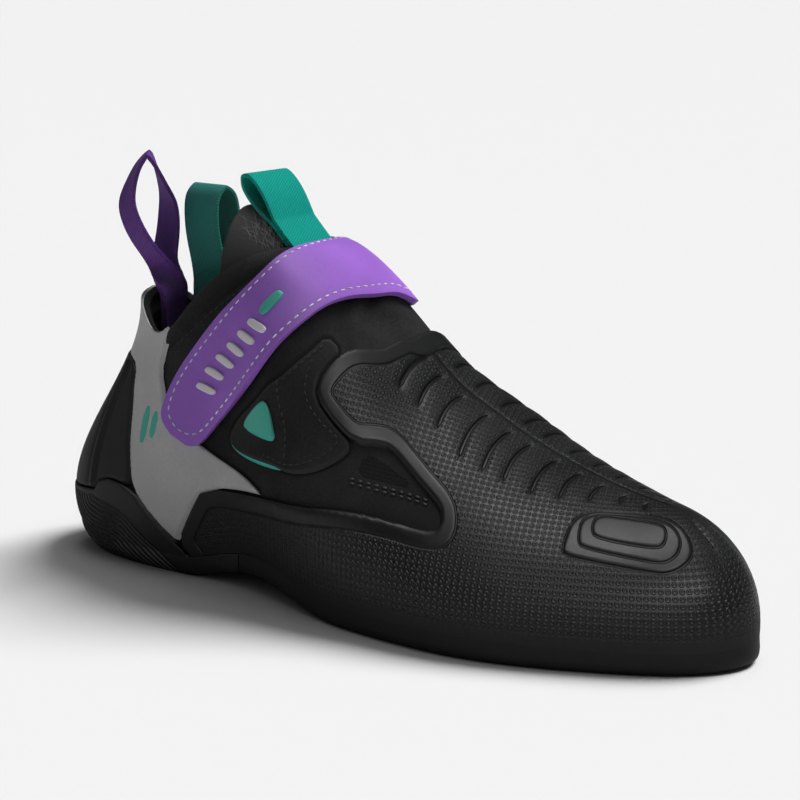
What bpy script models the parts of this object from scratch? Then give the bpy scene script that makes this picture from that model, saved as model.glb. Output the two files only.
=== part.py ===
"""Climbing shoe for the right foot: lasted upper, rubber sole and cap, one wide strap, pull loops."""
import bmesh
import bpy
import numpy as np
from mathutils import Vector

for old in list(bpy.data.objects):
    bpy.data.objects.remove(old, do_unlink=True)

MM = 0.001

# Driving sizes, in millimetres
LAST_LENGTH = 250.0
BALL_WIDTH = 80.0
INSTEP_HEIGHT = 105.0
SOLE_THICK = 6.3
SEAT_GAP = 0.3
UPPER_WALL = 2.2
CAP_LAYER = 2.1
HEEL_LAYER = 2.3
BAND_LAYER = 1.5
COUNTER_LAYER = 1.9
FLAP_LAYER = 1.6
BADGE_LAYER = 3.0
PAD_RISE = 0.8
STRAP_THICK = 2.2
TONGUE_THICK = 2.4
INSOLE_THICK = 1.6
WEBBING_THICK = 1.4
SOLE_EDGE = 2.4
EDGE_ROUND = 1.2
HEEL_ROUND = 4.6
BACK_LIFT = SOLE_THICK + SEAT_GAP

# Mesh steps between two rows of the last, and up the wall
STEPS_BETWEEN_ROWS = 2
WALL_STEPS = 12

# The last, one row per section from heel to toe, the same rows for both sides.
# edge_x, top_x: percent of the length; out_y, in_y: feather edge, percent of the ball width;
# floor_z: underside of the sole in mm; gap_y: half width of the collar in mm;
# top_z: percent of the instep height; flare, lean: wall angles in degrees at bottom and top;
# ridge: 1 where both sides meet on the ridge; low, high_out, high_in: fullness of the wall
LAST_COLUMNS = ("edge_x", "out_y", "in_y", "floor_z", "top_x", "gap_y", "top_z", "flare", "lean", "ridge",
                "low", "high_out", "high_in")
LAST_ROWS = (
    (2.0, 0.0, 0.0, 4.4, 11.8, 0.0, 81.4, 25, -3, 0.0, 0.33, 0.35, 0.35),
    (3.4, -15.0, 14.4, 2.9, 12.4, 6.5, 80.5, 25, -2, 0.0, 0.33, 0.35, 0.35),
    (8.2, -25.0, 24.4, 0.6, 14.4, 12.5, 76.2, 24, 2, 0.0, 0.34, 0.35, 0.35),
    (15.8, -28.8, 28.1, 0.0, 18.2, 17.0, 71.9, 23, 6, 0.0, 0.35, 0.35, 0.35),
    (24.0, -28.8, 27.5, 0.0, 22.8, 19.0, 81.4, 20, 10, 0.0, 0.35, 0.38, 0.35),
    (32.0, -28.1, 25.0, 4.4, 28.4, 18.0, 93.8, 20, 25, 0.0, 0.35, 0.40, 0.35),
    (40.4, -35.0, 27.5, 3.6, 35.2, 9.0, 100.0, 20, 48, 0.5, 0.35, 0.45, 0.40),
    (49.6, -45.0, 34.4, 0.2, 42.8, 0.0, 90.5, 14, 70, 1.0, 0.35, 0.50, 0.45),
    (59.2, -50.0, 42.5, 0.0, 52.0, 0.0, 69.8, 10, 90, 1.0, 0.35, 0.50, 0.50),
    (68.4, -50.6, 46.2, 0.0, 60.8, 0.0, 57.2, 8, 90, 1.0, 0.40, 0.50, 0.50),
    (77.2, -45.0, 45.6, 0.0, 69.6, 0.0, 47.0, 6, 90, 1.0, 0.45, 0.50, 0.50),
    (85.2, -35.6, 39.4, 0.0, 78.0, 0.0, 40.8, 6, 90, 1.0, 0.50, 0.50, 0.50),
    (91.6, -25.6, 27.5, 0.0, 84.0, 0.0, 38.4, 6, 90, 1.0, 0.52, 0.50, 0.50),
    (96.2, -13.8, 13.8, 0.4, 87.4, 0.0, 37.6, 5, 90, 1.0, 0.55, 0.50, 0.50),
    (98.2, 0.0, 0.0, 1.0, 88.6, 0.0, 36.7, 4, 90, 1.0, 0.55, 0.50, 0.50),
)
# Sideways place of the ridge: percent of the length, mm toward the inner side
RIDGE_LINE = ((0.0, 0.0), (12.0, 0.0), (18.0, 0.2), (24.0, 1.0), (35.2, 6.0), (42.8, 12.0), (52.0, 15.0),
              (60.8, 16.0), (69.6, 14.0), (78.0, 11.0), (88.6, 5.0))
TOE_ROW = len(LAST_ROWS) - 1
ROUND_TRIP = 2 * TOE_ROW
THROAT_ROW = 7
# Row numbers where the heel plate ends and the forefoot plate begins
HEEL_PLATE_END = 5.04
FOREFOOT_START = 5.055

# Outlines on the outer side are drawn along a slanted line of sight: x and z there are read where it
# crosses the middle plane, so one mm sideways moves the line by these shares
SIGHT_X = 0.7002
SIGHT_Z = 0.3044
MIDDLE_Y = 4.0

# Outlines in mm: (along, up). The first four are seen along the line of sight
CAP_EDGE_OUTER = ((137.0, 92.0), (134.6, 82.2), (126.5, 81.3), (121.0, 78.0), (117.1, 75.9), (109.4, 75.3),
                  (103.9, 73.2), (98.9, 68.7), (94.7, 63.1), (94.4, 57.4), (100.5, 51.0), (107.7, 46.0),
                  (117.9, 47.1), (121.6, 46.1), (126.8, 41.6), (132.8, 36.3), (137.8, 32.3), (139.5, 29.6),
                  (139.1, 25.6), (136.9, 23.6), (130.3, 23.3), (120.4, 24.3), (109.6, 24.7), (98.6, 24.2),
                  (88.0, 22.9), (73.9, 23.2), (50.0, 22.7), (44.8, 13.9), (39.8, 3.9), (46.6, -3.0),
                  (46.6, -20.0))
FLAP_OUTLINE = ((97.4, 77.0), (92.7, 72.2), (85.6, 66.3), (80.4, 61.6), (75.8, 58.6), (71.0, 52.6),
                (65.0, 47.1), (61.5, 41.4), (62.2, 37.9), (67.0, 36.1), (77.7, 34.6), (83.5, 33.1),
                (91.2, 34.5), (98.5, 37.8), (105.6, 42.6), (106.6, 45.4), (99.8, 50.4), (93.6, 57.0),
                (93.9, 63.4), (98.2, 69.2), (103.0, 73.6))
PAD_OUTLINE = ((186.8, 36.3), (181.3, 25.4), (182.7, 23.8), (211.0, 23.5), (218.2, 24.3), (225.0, 29.1),
               (225.5, 32.9), (222.8, 37.5), (216.1, 39.4), (202.9, 38.4))
BADGE_CENTRE = (74.0, 47.5)
BADGE_HALF = (4.2, 6.2)
BADGE_TURN = -35.0
# Seen straight from the side
CAP_EDGE_INNER = ((124.3, 130.0), (124.3, 76.0), (127.0, 62.0), (134.0, 50.0), (141.0, 42.0), (140.0, 36.0),
                  (128.0, 33.5), (100.0, 32.0), (69.0, 30.7), (63.7, 22.0), (57.8, 11.6), (64.2, 5.2),
                  (64.2, -4.0))
BAND_OUTLINE = ((50.5, 96.0), (49.3, 74.5), (47.9, 70.0), (47.2, 64.0), (50.0, 59.0), (52.5, 53.5),
                (68.0, 43.0), (92.0, 34.2), (92.0, 33.3), (68.5, 31.5), (63.1, 22.6), (57.1, 12.2),
                (56.5, 11.6), (48.2, 18.9), (40.2, 26.4), (38.4, 34.3), (36.9, 42.0), (36.1, 50.0),
                (34.5, 57.0), (34.1, 63.2), (29.0, 65.0), (20.0, 67.0), (-20.0, 69.0), (-20.0, 96.0))
COUNTER_OUTLINE = ((33.7, 62.6), (34.1, 57.0), (35.7, 50.0), (36.5, 42.0), (38.0, 34.3), (39.6, 26.6),
                   (25.4, 27.5), (20.8, 20.9), (-20.0, 20.6), (-20.0, 68.6), (20.0, 66.6), (28.8, 64.6))
HEEL_OUTLINE = ((-20.0, 20.2), (21.0, 20.4), (25.6, 27.0), (39.4, 26.1), (48.0, 18.4), (56.7, 10.8),
                (62.5, 5.0), (62.5, -10.0), (-20.0, -10.0))

# The strap, one row per cut across it from the free end over the ridge to the inner side.
# rear_row, front_row: place along the last; rear_up, front_up: place up the wall, over 1 past the ridge;
# stand: how far its underside stands off the upper in mm
STRAP_COLUMNS = ("rear_row", "rear_up", "front_row", "front_up", "stand")
STRAP_ROWS = (
    (3.86, 0.530, 4.09, 0.477, 1.8),
    (3.72, 0.590, 4.25, 0.464, 1.8),
    (3.70, 0.645, 4.42, 0.483, 1.8),
    (3.80, 0.710, 4.60, 0.511, 1.8),
    (4.02, 0.775, 4.84, 0.541, 1.8),
    (4.40, 0.825, 5.16, 0.572, 1.8),
    (4.85, 0.863, 5.56, 0.598, 1.8),
    (5.27, 0.880, 5.95, 0.632, 1.8),
    (5.61, 0.895, 6.34, 0.705, 1.8),
    (5.83, 0.922, 6.60, 0.768, 1.8),
    (5.96, 0.955, 6.85, 0.838, 2.1),
    (6.03, 0.990, 7.08, 0.915, 2.4),
    (6.01, 1.030, 7.20, 0.998, 2.3),
    (5.90, 1.070, 7.16, 1.085, 1.9),
    (5.68, 1.110, 6.97, 1.180, 1.6),
    (5.36, 1.143, 6.63, 1.285, 1.4),
    (5.00, 1.170, 6.12, 1.380, 1.2),
    (4.70, 1.200, 5.55, 1.440, 1.2),
)
STRAP_STEPS = 3
STRAP_ARCH = 0.07
STRAP_ACROSS = 5

# The tongue, one row per arch from its free edge to its root under the vamp, in mm:
# along, crown height, height of its sides, half width, sideways place
TONGUE_COLUMNS = ("along", "crown", "side", "half", "middle")
TONGUE_ROWS = (
    (66.0, 115.5, 92.0, 15.0, 1.2),
    (76.0, 110.0, 89.0, 13.8, 2.4),
    (88.0, 103.0, 85.0, 12.4, 4.3),
    (98.0, 97.2, 81.0, 11.0, 7.0),
    (108.0, 89.8, 76.0, 10.0, 9.5),
    (118.0, 80.8, 68.0, 9.5, 11.0),
)
TONGUE_STEPS = 3
TONGUE_ARC_STEPS = 12

# Pull loops, rows from the sewn end to the top: height, lean and half opening in mm, turn in degrees
LOOP_COLUMNS = ("height", "lean", "half", "turn")
HEEL_LOOP_ROWS = (
    (0.0, 0.0, 0.0, 0.0),
    (7.0, 0.0, 0.0, -2.0),
    (13.0, -0.5, 0.0, -20.0),
    (20.0, -4.4, 1.4, -80.0),
    (28.0, -7.4, 5.6, -98.0),
    (37.0, -9.6, 7.5, -108.0),
    (44.0, -10.2, 5.6, -124.0),
    (50.5, -10.0, 2.9, -136.0),
    (55.0, -9.3, 0.0, -145.0),
)
TONGUE_LOOP_ROWS = (
    (0.0, 0.0, 0.0, 0.0),
    (7.0, 0.0, 0.0, 0.0),
    (12.0, 0.3, 1.6, 0.0),
    (18.0, 0.7, 2.9, 0.0),
    (23.5, 0.9, 3.0, 0.0),
    (27.0, 1.0, 2.0, 0.0),
    (28.6, 1.0, 0.0, 0.0),
)
SIDE_LOOP_ROWS = (
    (0.0, 0.0, 0.0, 0.0),
    (11.0, 0.0, 0.0, -6.0),
    (20.0, 0.3, 2.4, -25.0),
    (29.0, 0.6, 4.4, -31.0),
    (37.0, 0.8, 4.6, -31.0),
    (42.0, 0.8, 3.2, -31.0),
    (44.5, 0.8, 0.0, -31.0),
)
# name, rows, width, foot of the loop, direction up it, direction across its opening at the foot
LOOPS = (
    ("heel_loop", HEEL_LOOP_ROWS, 10.0, (36.4, 0.0, 73.0), (0.0, 0.0, 1.0), (1.0, 0.0, 0.0)),
    ("tongue_loop", TONGUE_LOOP_ROWS, 16.0, (87.0, 3.8, 106.0), (-0.78, 0.20, 0.59), (0.572, -0.146, 0.805)),
    ("side_loop", SIDE_LOOP_ROWS, 15.0, (45.2, 11.6, 73.0), (-0.06, 0.0, 1.0), (-0.385, 0.923, 0.0)),
)

# Colours: red, green, blue, roughness
LOOKS = {
    "upper": (0.013, 0.013, 0.014, 0.85),
    "tongue": (0.020, 0.020, 0.021, 0.80),
    "insole": (0.050, 0.050, 0.052, 0.90),
    "outsole": (0.018, 0.018, 0.019, 0.55),
    "heel_rubber": (0.018, 0.018, 0.019, 0.55),
    "toe_cap": (0.022, 0.023, 0.023, 0.50),
    "tension_band": (0.230, 0.230, 0.235, 0.60),
    "heel_counter": (0.016, 0.016, 0.017, 0.65),
    "side_flap": (0.014, 0.014, 0.015, 0.80),
    "flap_badge": (0.060, 0.420, 0.350, 0.45),
    "strap": (0.290, 0.120, 0.520, 0.60),
    "heel_loop": (0.110, 0.045, 0.190, 0.80),
    "tongue_loop": (0.000, 0.390, 0.330, 0.80),
    "side_loop": (0.030, 0.200, 0.160, 0.80),
}


# Smooth curves through table values

def closed_curve(values):
    """Smooth closed curve through values at 0, 1, 2 and so on, back to the first."""
    values = np.asarray(values, float)
    count = len(values)
    matrix = 4.0 * np.eye(count) + np.roll(np.eye(count), 1, 0) + np.roll(np.eye(count), -1, 0)
    bends = np.linalg.solve(matrix, 6.0 * (np.roll(values, -1) - 2.0 * values + np.roll(values, 1)))

    def curve(place):
        place = np.asarray(place, float) % count
        first = np.floor(place).astype(int) % count
        second = (first + 1) % count
        share = place - np.floor(place)
        rest = 1.0 - share
        straight = rest * values[first] + share * values[second]
        return straight + ((rest ** 3 - rest) * bends[first] + (share ** 3 - share) * bends[second]) / 6.0
    return curve


def open_curve(places, values):
    """Smooth open curve through (place, value) pairs."""
    places = np.asarray(places, float)
    values = np.asarray(values, float)
    count = len(places)
    steps = np.diff(places)
    matrix = np.eye(count)
    right = np.zeros(count)
    for i in range(1, count - 1):
        matrix[i, i - 1:i + 2] = steps[i - 1], 2.0 * (steps[i - 1] + steps[i]), steps[i]
        right[i] = 6.0 * ((values[i + 1] - values[i]) / steps[i] - (values[i] - values[i - 1]) / steps[i - 1])
    bends = np.linalg.solve(matrix, right)

    def curve(place):
        place = np.clip(np.asarray(place, float), places[0], places[-1])
        i = np.clip(np.searchsorted(places, place) - 1, 0, count - 2)
        rest = (places[i + 1] - place) / steps[i]
        share = (place - places[i]) / steps[i]
        curved = (rest ** 3 - rest) * bends[i] + (share ** 3 - share) * bends[i + 1]
        return rest * values[i] + share * values[i + 1] + curved * steps[i] ** 2 / 6.0
    return curve


def table_curves(columns, rows):
    """One smooth curve per column, by row number."""
    numbers = np.arange(len(rows))
    return {name: open_curve(numbers, [row[k] for row in rows]) for k, name in enumerate(columns)}


# The last as a surface: place runs round the shoe by row number, heel at 0, outer side first, toe at
# TOE_ROW, inner side back to the heel; up runs from the feather edge at 0 to the top line at 1

def last_curves():
    column = {name: np.array([row[k] for row in LAST_ROWS], float) for k, name in enumerate(LAST_COLUMNS)}
    column["edge_x"] *= LAST_LENGTH / 100.0
    column["top_x"] *= LAST_LENGTH / 100.0
    column["out_y"] *= BALL_WIDTH / 100.0
    column["in_y"] *= BALL_WIDTH / 100.0
    column["top_z"] *= INSTEP_HEIGHT / 100.0

    def both(outer, inner):
        return closed_curve(np.concatenate([column[outer], column[inner][-2:0:-1]]))

    shared = ("edge_x", "floor_z", "top_x", "gap_y", "top_z", "flare", "lean", "ridge", "low")
    curves = {name: both(name, name) for name in shared}
    curves["edge_y"] = both("out_y", "in_y")
    curves["high"] = both("high_out", "high_in")
    on_ridge = column["ridge"] > 0
    ridge_height = open_curve(column["top_x"][on_ridge], column["top_z"][on_ridge])
    ridge_along = [row[0] * LAST_LENGTH / 100.0 for row in RIDGE_LINE]
    ridge_side = open_curve(ridge_along, [row[1] for row in RIDGE_LINE])
    return curves, ridge_height, ridge_side


CURVES, RIDGE_HEIGHT, RIDGE_SIDE = last_curves()


def floor_height(place):
    return np.maximum(CURVES["floor_z"](place), 0.0)


def feather_edge(place):
    """Bottom edge of the upper's outside."""
    return np.stack([CURVES["edge_x"](place), CURVES["edge_y"](place), floor_height(place) + BACK_LIFT], -1)


def wall_point(place, up):
    """Point on the outside of the upper."""
    place, up = np.broadcast_arrays(np.asarray(place, float), np.asarray(up, float))
    value = {name: curve(place) for name, curve in CURVES.items()}
    turn = place % ROUND_TRIP
    side = np.where(turn < TOE_ROW, -1.0, 1.0)
    edge = feather_edge(place)
    open_above = (turn < THROAT_ROW) | (turn > ROUND_TRIP - THROAT_ROW)
    gap = np.where(open_above, np.maximum(value["gap_y"], 0.0), 0.0)
    top_y = RIDGE_SIDE(value["top_x"]) + side * gap
    top = np.stack([value["top_x"], top_y, value["top_z"]], -1)
    across = top[..., :2] - edge[..., :2]
    reach = np.linalg.norm(across, axis=-1)
    inward = across / np.maximum(reach, 1e-6)[..., None]
    rise = top[..., 2] - edge[..., 2]

    slope = (RIDGE_HEIGHT(value["top_x"] + 1.0) - RIDGE_HEIGHT(value["top_x"] - 1.0)) / 2.0
    flare = np.radians(value["flare"])
    lean = np.radians(value["lean"])
    on_ridge = np.clip(value["ridge"], 0.0, 1.0)[..., None]
    along_ridge = np.stack([np.ones_like(slope), slope * inward[..., 0]], -1)
    along_ridge /= np.linalg.norm(along_ridge, axis=-1)[..., None]
    along_wall = np.stack([np.sin(lean), np.cos(lean)], -1)
    top_run = along_ridge * on_ridge + along_wall * (1.0 - on_ridge)
    top_run /= np.linalg.norm(top_run, axis=-1)[..., None]
    top_pull = (np.abs(top_run[..., 0]) * reach + np.abs(top_run[..., 1]) * rise) * value["high"]

    last = np.stack([reach, rise], -1)
    second = np.stack([-np.sin(flare), np.cos(flare)], -1) * (rise * value["low"])[..., None]
    third = last - top_run * top_pull[..., None]
    share = up[..., None]
    rest = 1.0 - share
    bow = 3.0 * rest ** 2 * share * second + 3.0 * rest * share ** 2 * third + share ** 3 * last
    point = np.empty(place.shape + (3,))
    point[..., :2] = edge[..., :2] + inward * bow[..., :1]
    point[..., 2] = edge[..., 2] + bow[..., 1]
    return point


def wall_normal(place, up):
    """Outward direction of the upper's outside."""
    place, up = np.broadcast_arrays(np.asarray(place, float), np.asarray(up, float))
    small = 1e-3
    up = np.clip(up, small, 1.0 - 2.0 * small)
    along = wall_point(place + small, up) - wall_point(place - small, up)
    rising = wall_point(place, up + small) - wall_point(place, up - small)
    normal = np.cross(along, rising)
    return normal / np.linalg.norm(normal, axis=-1)[..., None]


STATIONS = np.arange(0.0, ROUND_TRIP, 1.0 / STEPS_BETWEEN_ROWS)
LEVELS = np.linspace(0.0, 1.0, WALL_STEPS + 1)
COUNT = len(STATIONS)
TOE_STATION = COUNT // 2
THROAT_STATION = THROAT_ROW * STEPS_BETWEEN_ROWS


def on_ridge_station(k):
    return THROAT_STATION <= k <= COUNT - THROAT_STATION


def wall_grid():
    """Points and outward directions on the mesh lines, level with the floor along the feather edge."""
    place, up = np.meshgrid(STATIONS, LEVELS, indexing="ij")
    point = wall_point(place, up)
    normal = wall_normal(place, up)
    normal[:, 0, 2] = 0.0
    for k in range(COUNT):
        if on_ridge_station(k):
            mirror = (COUNT - k) % COUNT
            shared = normal[k, -1] + normal[mirror, -1]
            shared[1] *= 0.5
            normal[k, -1] = normal[mirror, -1] = shared
    return point, normal / np.linalg.norm(normal, axis=-1)[..., None]


WALL, OUTWARD = wall_grid()


# Building meshes

def add_object(name, verts, faces):
    """A closed mesh from points in mm, merged, with outward normals."""
    mesh = bpy.data.meshes.new(name)
    mesh.from_pydata([tuple(Vector(v) * MM) for v in verts], [], faces)
    shape = bmesh.new()
    shape.from_mesh(mesh)
    bmesh.ops.remove_doubles(shape, verts=shape.verts, dist=1e-6)
    bmesh.ops.recalc_face_normals(shape, faces=shape.faces)
    shape.to_mesh(mesh)
    shape.free()
    item = bpy.data.objects.new(name, mesh)
    bpy.context.collection.objects.link(item)
    return item


def wall_shell(name, low, high, drop=0.0):
    """Shell round the whole last between two distances from the upper's outside."""
    verts = []
    faces = []
    width = WALL_STEPS + 1
    for distance in (high, low):
        layer = WALL + OUTWARD * distance
        layer[:, 0, 2] -= drop
        verts.extend(layer.reshape(-1, 3))
    inside = COUNT * width

    def corner(k, j):
        return (k % COUNT) * width + j

    for k in range(COUNT):
        for j in range(WALL_STEPS):
            lower = [corner(k, j), corner(k + 1, j), corner(k + 1, j + 1)]
            upper_half = [corner(k, j), corner(k + 1, j + 1), corner(k, j + 1)]
            for triangle in (lower, upper_half):
                faces.append(triangle)
                faces.append([inside + i for i in reversed(triangle)])
        faces.append([corner(k, 0), inside + corner(k, 0), inside + corner(k + 1, 0), corner(k + 1, 0)])
        if not (on_ridge_station(k) and on_ridge_station(k + 1)):
            near = corner(k, WALL_STEPS)
            far = corner(k + 1, WALL_STEPS)
            faces.append([near, far, inside + far, inside + near])
    return add_object(name, verts, faces)


def edge_outline(places, distance):
    """The feather edge moved outward, level with the floor."""
    point = feather_edge(places)
    small = 1e-3
    along = feather_edge(places + small) - feather_edge(places - small)
    outward = np.stack([along[..., 1], -along[..., 0]], -1)
    outward /= np.linalg.norm(outward, axis=-1)[..., None]
    point[..., :2] += outward * distance
    return point


def plate(name, first, last, levels):
    """Plate under the last between two rows; levels hold the distance from the edge at the first row and at
    the last one, and the height over the floor."""
    inner = [row for row in STATIONS[:TOE_STATION + 1] if first + 0.1 < row < last - 0.1]
    half = np.array([first] + inner + [last])
    places = np.concatenate([half, (ROUND_TRIP - half)[::-1]])
    count = len(half)
    verts = []
    faces = []
    share = np.concatenate([half, half[::-1]])
    share = (share - first) / (last - first)
    for first_distance, last_distance, height in levels:
        ring = edge_outline(places, (first_distance * (1.0 - share) + last_distance * share)[:, None])
        ring[:, 2] = floor_height(places) + height
        verts.extend(ring)
    size = len(places)
    for layer in range(len(levels) - 1):
        for k in range(size):
            step = (k + 1) % size
            base = layer * size
            faces.append([base + k, base + step, base + size + step, base + size + k])
    for layer in (0, len(levels) - 1):
        for k in range(count - 1):
            base = layer * size
            faces.append([base + k, base + k + 1, base + size - 2 - k, base + size - 1 - k])
    return add_object(name, verts, faces)


def prism(name, outline, near, far, slant_x=0.0, slant_z=0.0):
    """Cutter: an outline of (along, up) carried sideways from near to far, slanted by the shares given."""
    verts = []
    for y in (near, far):
        verts.extend((along - slant_x * y, y, up - slant_z * y) for along, up in outline)
    size = len(outline)
    faces = [list(range(size)), list(range(2 * size - 1, size - 1, -1))]
    faces.extend([k, (k + 1) % size, size + (k + 1) % size, size + k] for k in range(size))
    cutter = add_object(name, verts, faces)
    cutter.hide_render = True
    cutter.display_type = "WIRE"
    return cutter


def apply_boolean(item, cutter, operation):
    step = item.modifiers.new(cutter.name, "BOOLEAN")
    step.operation = operation
    step.solver = "EXACT"
    step.object = cutter
    bpy.context.view_layer.update()
    result = item.evaluated_get(bpy.context.evaluated_depsgraph_get())
    mesh = bpy.data.meshes.new_from_object(result)
    item.modifiers.clear()
    old = item.data
    item.data = mesh
    bpy.data.meshes.remove(old)
    bpy.data.objects.remove(cutter, do_unlink=True)


def outer_sight_prism(name, outline):
    return prism(name, outline, -120.0, MIDDLE_Y, SIGHT_X, SIGHT_Z)


def side_prism(name, outline):
    return prism(name, outline, -120.0, 120.0)


# Upper, insole and soles

upper = wall_shell("upper", -UPPER_WALL, 0.0)

insole_edge = -UPPER_WALL - 0.5
insole_levels = ((insole_edge, insole_edge, BACK_LIFT), (insole_edge, insole_edge, BACK_LIFT + INSOLE_THICK))
insole = plate("insole", 0.0, TOE_ROW, insole_levels)

sole_bottom = SOLE_EDGE - EDGE_ROUND
sole_levels = (
    (sole_bottom, sole_bottom, 0.0),
    (SOLE_EDGE, SOLE_EDGE, EDGE_ROUND),
    (SOLE_EDGE, SOLE_EDGE, SOLE_THICK),
)
heel_levels = (
    (SOLE_EDGE - HEEL_ROUND, sole_bottom, 0.0),
    (SOLE_EDGE - 0.3 * HEEL_ROUND, SOLE_EDGE, 0.4 * SOLE_THICK),
    (SOLE_EDGE, SOLE_EDGE, SOLE_THICK),
)
outsole = plate("outsole", FOREFOOT_START, TOE_ROW, sole_levels)

heel_rubber = plate("heel_rubber", 0.0, HEEL_PLATE_END, heel_levels)
heel_wall = wall_shell("heel_wall", SEAT_GAP, HEEL_LAYER, drop=1.0)
apply_boolean(heel_wall, side_prism("heel_cut", HEEL_OUTLINE), "INTERSECT")
apply_boolean(heel_rubber, heel_wall, "UNION")

# Rubber toe cap with its side rand and raised pad

cap_rest_outer = ((-80.0, -20.0), (-80.0, 170.0), (137.0, 170.0))
toe_cap = wall_shell("toe_cap", SEAT_GAP, CAP_LAYER)
apply_boolean(toe_cap, outer_sight_prism("cap_cut_outer", CAP_EDGE_OUTER + cap_rest_outer), "DIFFERENCE")
cap_rest_inner = ((-20.0, -4.0), (-20.0, 130.0))
inner_cut = prism("cap_cut_inner", CAP_EDGE_INNER + cap_rest_inner, MIDDLE_Y - 0.5, 120.0)
apply_boolean(toe_cap, inner_cut, "DIFFERENCE")
pad = wall_shell("pad", CAP_LAYER - 1.0, CAP_LAYER + PAD_RISE)
apply_boolean(pad, outer_sight_prism("pad_cut", PAD_OUTLINE), "INTERSECT")
apply_boolean(toe_cap, pad, "UNION")

# Heel pieces and the side flap

tension_band = wall_shell("tension_band", SEAT_GAP, BAND_LAYER)
apply_boolean(tension_band, side_prism("band_cut", BAND_OUTLINE), "INTERSECT")

heel_counter = wall_shell("heel_counter", SEAT_GAP, COUNTER_LAYER)
apply_boolean(heel_counter, side_prism("counter_cut", COUNTER_OUTLINE), "INTERSECT")

side_flap = wall_shell("side_flap", SEAT_GAP, FLAP_LAYER)
apply_boolean(side_flap, outer_sight_prism("flap_cut", FLAP_OUTLINE), "INTERSECT")

badge_turn = np.radians(BADGE_TURN)
badge_outline = []
for angle in np.radians(np.arange(0.0, 360.0, 20.0)):
    wide = BADGE_HALF[0] * np.cos(angle)
    tall = BADGE_HALF[1] * np.sin(angle)
    badge_outline.append((BADGE_CENTRE[0] + wide * np.cos(badge_turn) - tall * np.sin(badge_turn),
                          BADGE_CENTRE[1] + wide * np.sin(badge_turn) + tall * np.cos(badge_turn)))
flap_badge = wall_shell("flap_badge", FLAP_LAYER + SEAT_GAP, BADGE_LAYER)
apply_boolean(flap_badge, outer_sight_prism("badge_cut", badge_outline), "INTERSECT")


# Strap over the instep

def strap_spot(place, up):
    """Point and outward direction at a place up the outer wall, over the ridge and down the inner wall.
    Near the ridge the strap arches from wall to wall, also over the open throat."""
    mirror = ROUND_TRIP - place
    if up < 1.0 - STRAP_ARCH:
        return wall_point(place, up), wall_normal(place, up)
    if up > 1.0 + STRAP_ARCH:
        return wall_point(mirror, 2.0 - up), wall_normal(mirror, 2.0 - up)
    spring = 1.0 - STRAP_ARCH
    small = 1e-3
    first = wall_point(place, spring)
    last = wall_point(mirror, spring)
    leave = (first - wall_point(place, spring - small)) * 2.0 * STRAP_ARCH / small
    land = (wall_point(mirror, spring - small) - last) * 2.0 * STRAP_ARCH / small
    share = (up - spring) / (2.0 * STRAP_ARCH)
    rest = 1.0 - share
    point = first * rest ** 2 * (1.0 + 2.0 * share) + last * share ** 2 * (1.0 + 2.0 * rest)
    point += leave * rest ** 2 * share - land * share ** 2 * rest
    normal = wall_normal(place, spring) * rest + wall_normal(mirror, spring) * share
    return point, normal / np.linalg.norm(normal)


def band_solid(name, sheets):
    """Solid between two grids of points, the first the underside."""
    rows, columns = sheets[0].shape[:2]
    verts = list(sheets[0].reshape(-1, 3)) + list(sheets[1].reshape(-1, 3))
    shift = rows * columns
    faces = []

    def corner(i, j):
        return i * columns + j

    for i in range(rows - 1):
        for j in range(columns - 1):
            quad = [corner(i, j), corner(i, j + 1), corner(i + 1, j + 1), corner(i + 1, j)]
            faces.append(quad)
            faces.append([shift + v for v in reversed(quad)])
    ring = [corner(0, j) for j in range(columns)]
    ring += [corner(i, columns - 1) for i in range(1, rows)]
    ring += [corner(rows - 1, j) for j in range(columns - 2, -1, -1)]
    ring += [corner(i, 0) for i in range(rows - 2, 0, -1)]
    for k, first in enumerate(ring):
        second = ring[(k + 1) % len(ring)]
        faces.append([first, second, shift + second, shift + first])
    return add_object(name, verts, faces)


def strap_rail(share, lift):
    """Smooth line along the strap at a share of its width, one point per step."""
    points = []
    for rear_row, rear_up, front_row, front_up, stand in STRAP_ROWS:
        place = rear_row * (1.0 - share) + front_row * share
        up = rear_up * (1.0 - share) + front_up * share
        point, normal = strap_spot(place, up)
        points.append(point + normal * (stand + lift))
    rows = np.linspace(0.0, len(STRAP_ROWS) - 1.0, (len(STRAP_ROWS) - 1) * STRAP_STEPS + 1)
    curves = table_curves(("x", "y", "z"), points)
    return np.stack([curves[axis](rows) for axis in ("x", "y", "z")], -1)


def strap_sheet(lift):
    """Grid of the strap at a lift over its underside, bowed across through three rails."""
    rear, middle, front = (strap_rail(share, lift) for share in (0.0, 0.5, 1.0))
    share = np.linspace(0.0, 1.0, STRAP_ACROSS + 1)[None, :, None]
    bow = middle - (rear + front) / 2.0
    flat = rear[:, None] * (1.0 - share) + front[:, None] * share
    return flat + 4.0 * share * (1.0 - share) * bow[:, None]


strap_low = strap_sheet(0.0)
strap_high = strap_sheet(STRAP_THICK)
strap = band_solid("strap", (strap_low, strap_high))

# Tongue inside the throat

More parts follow.
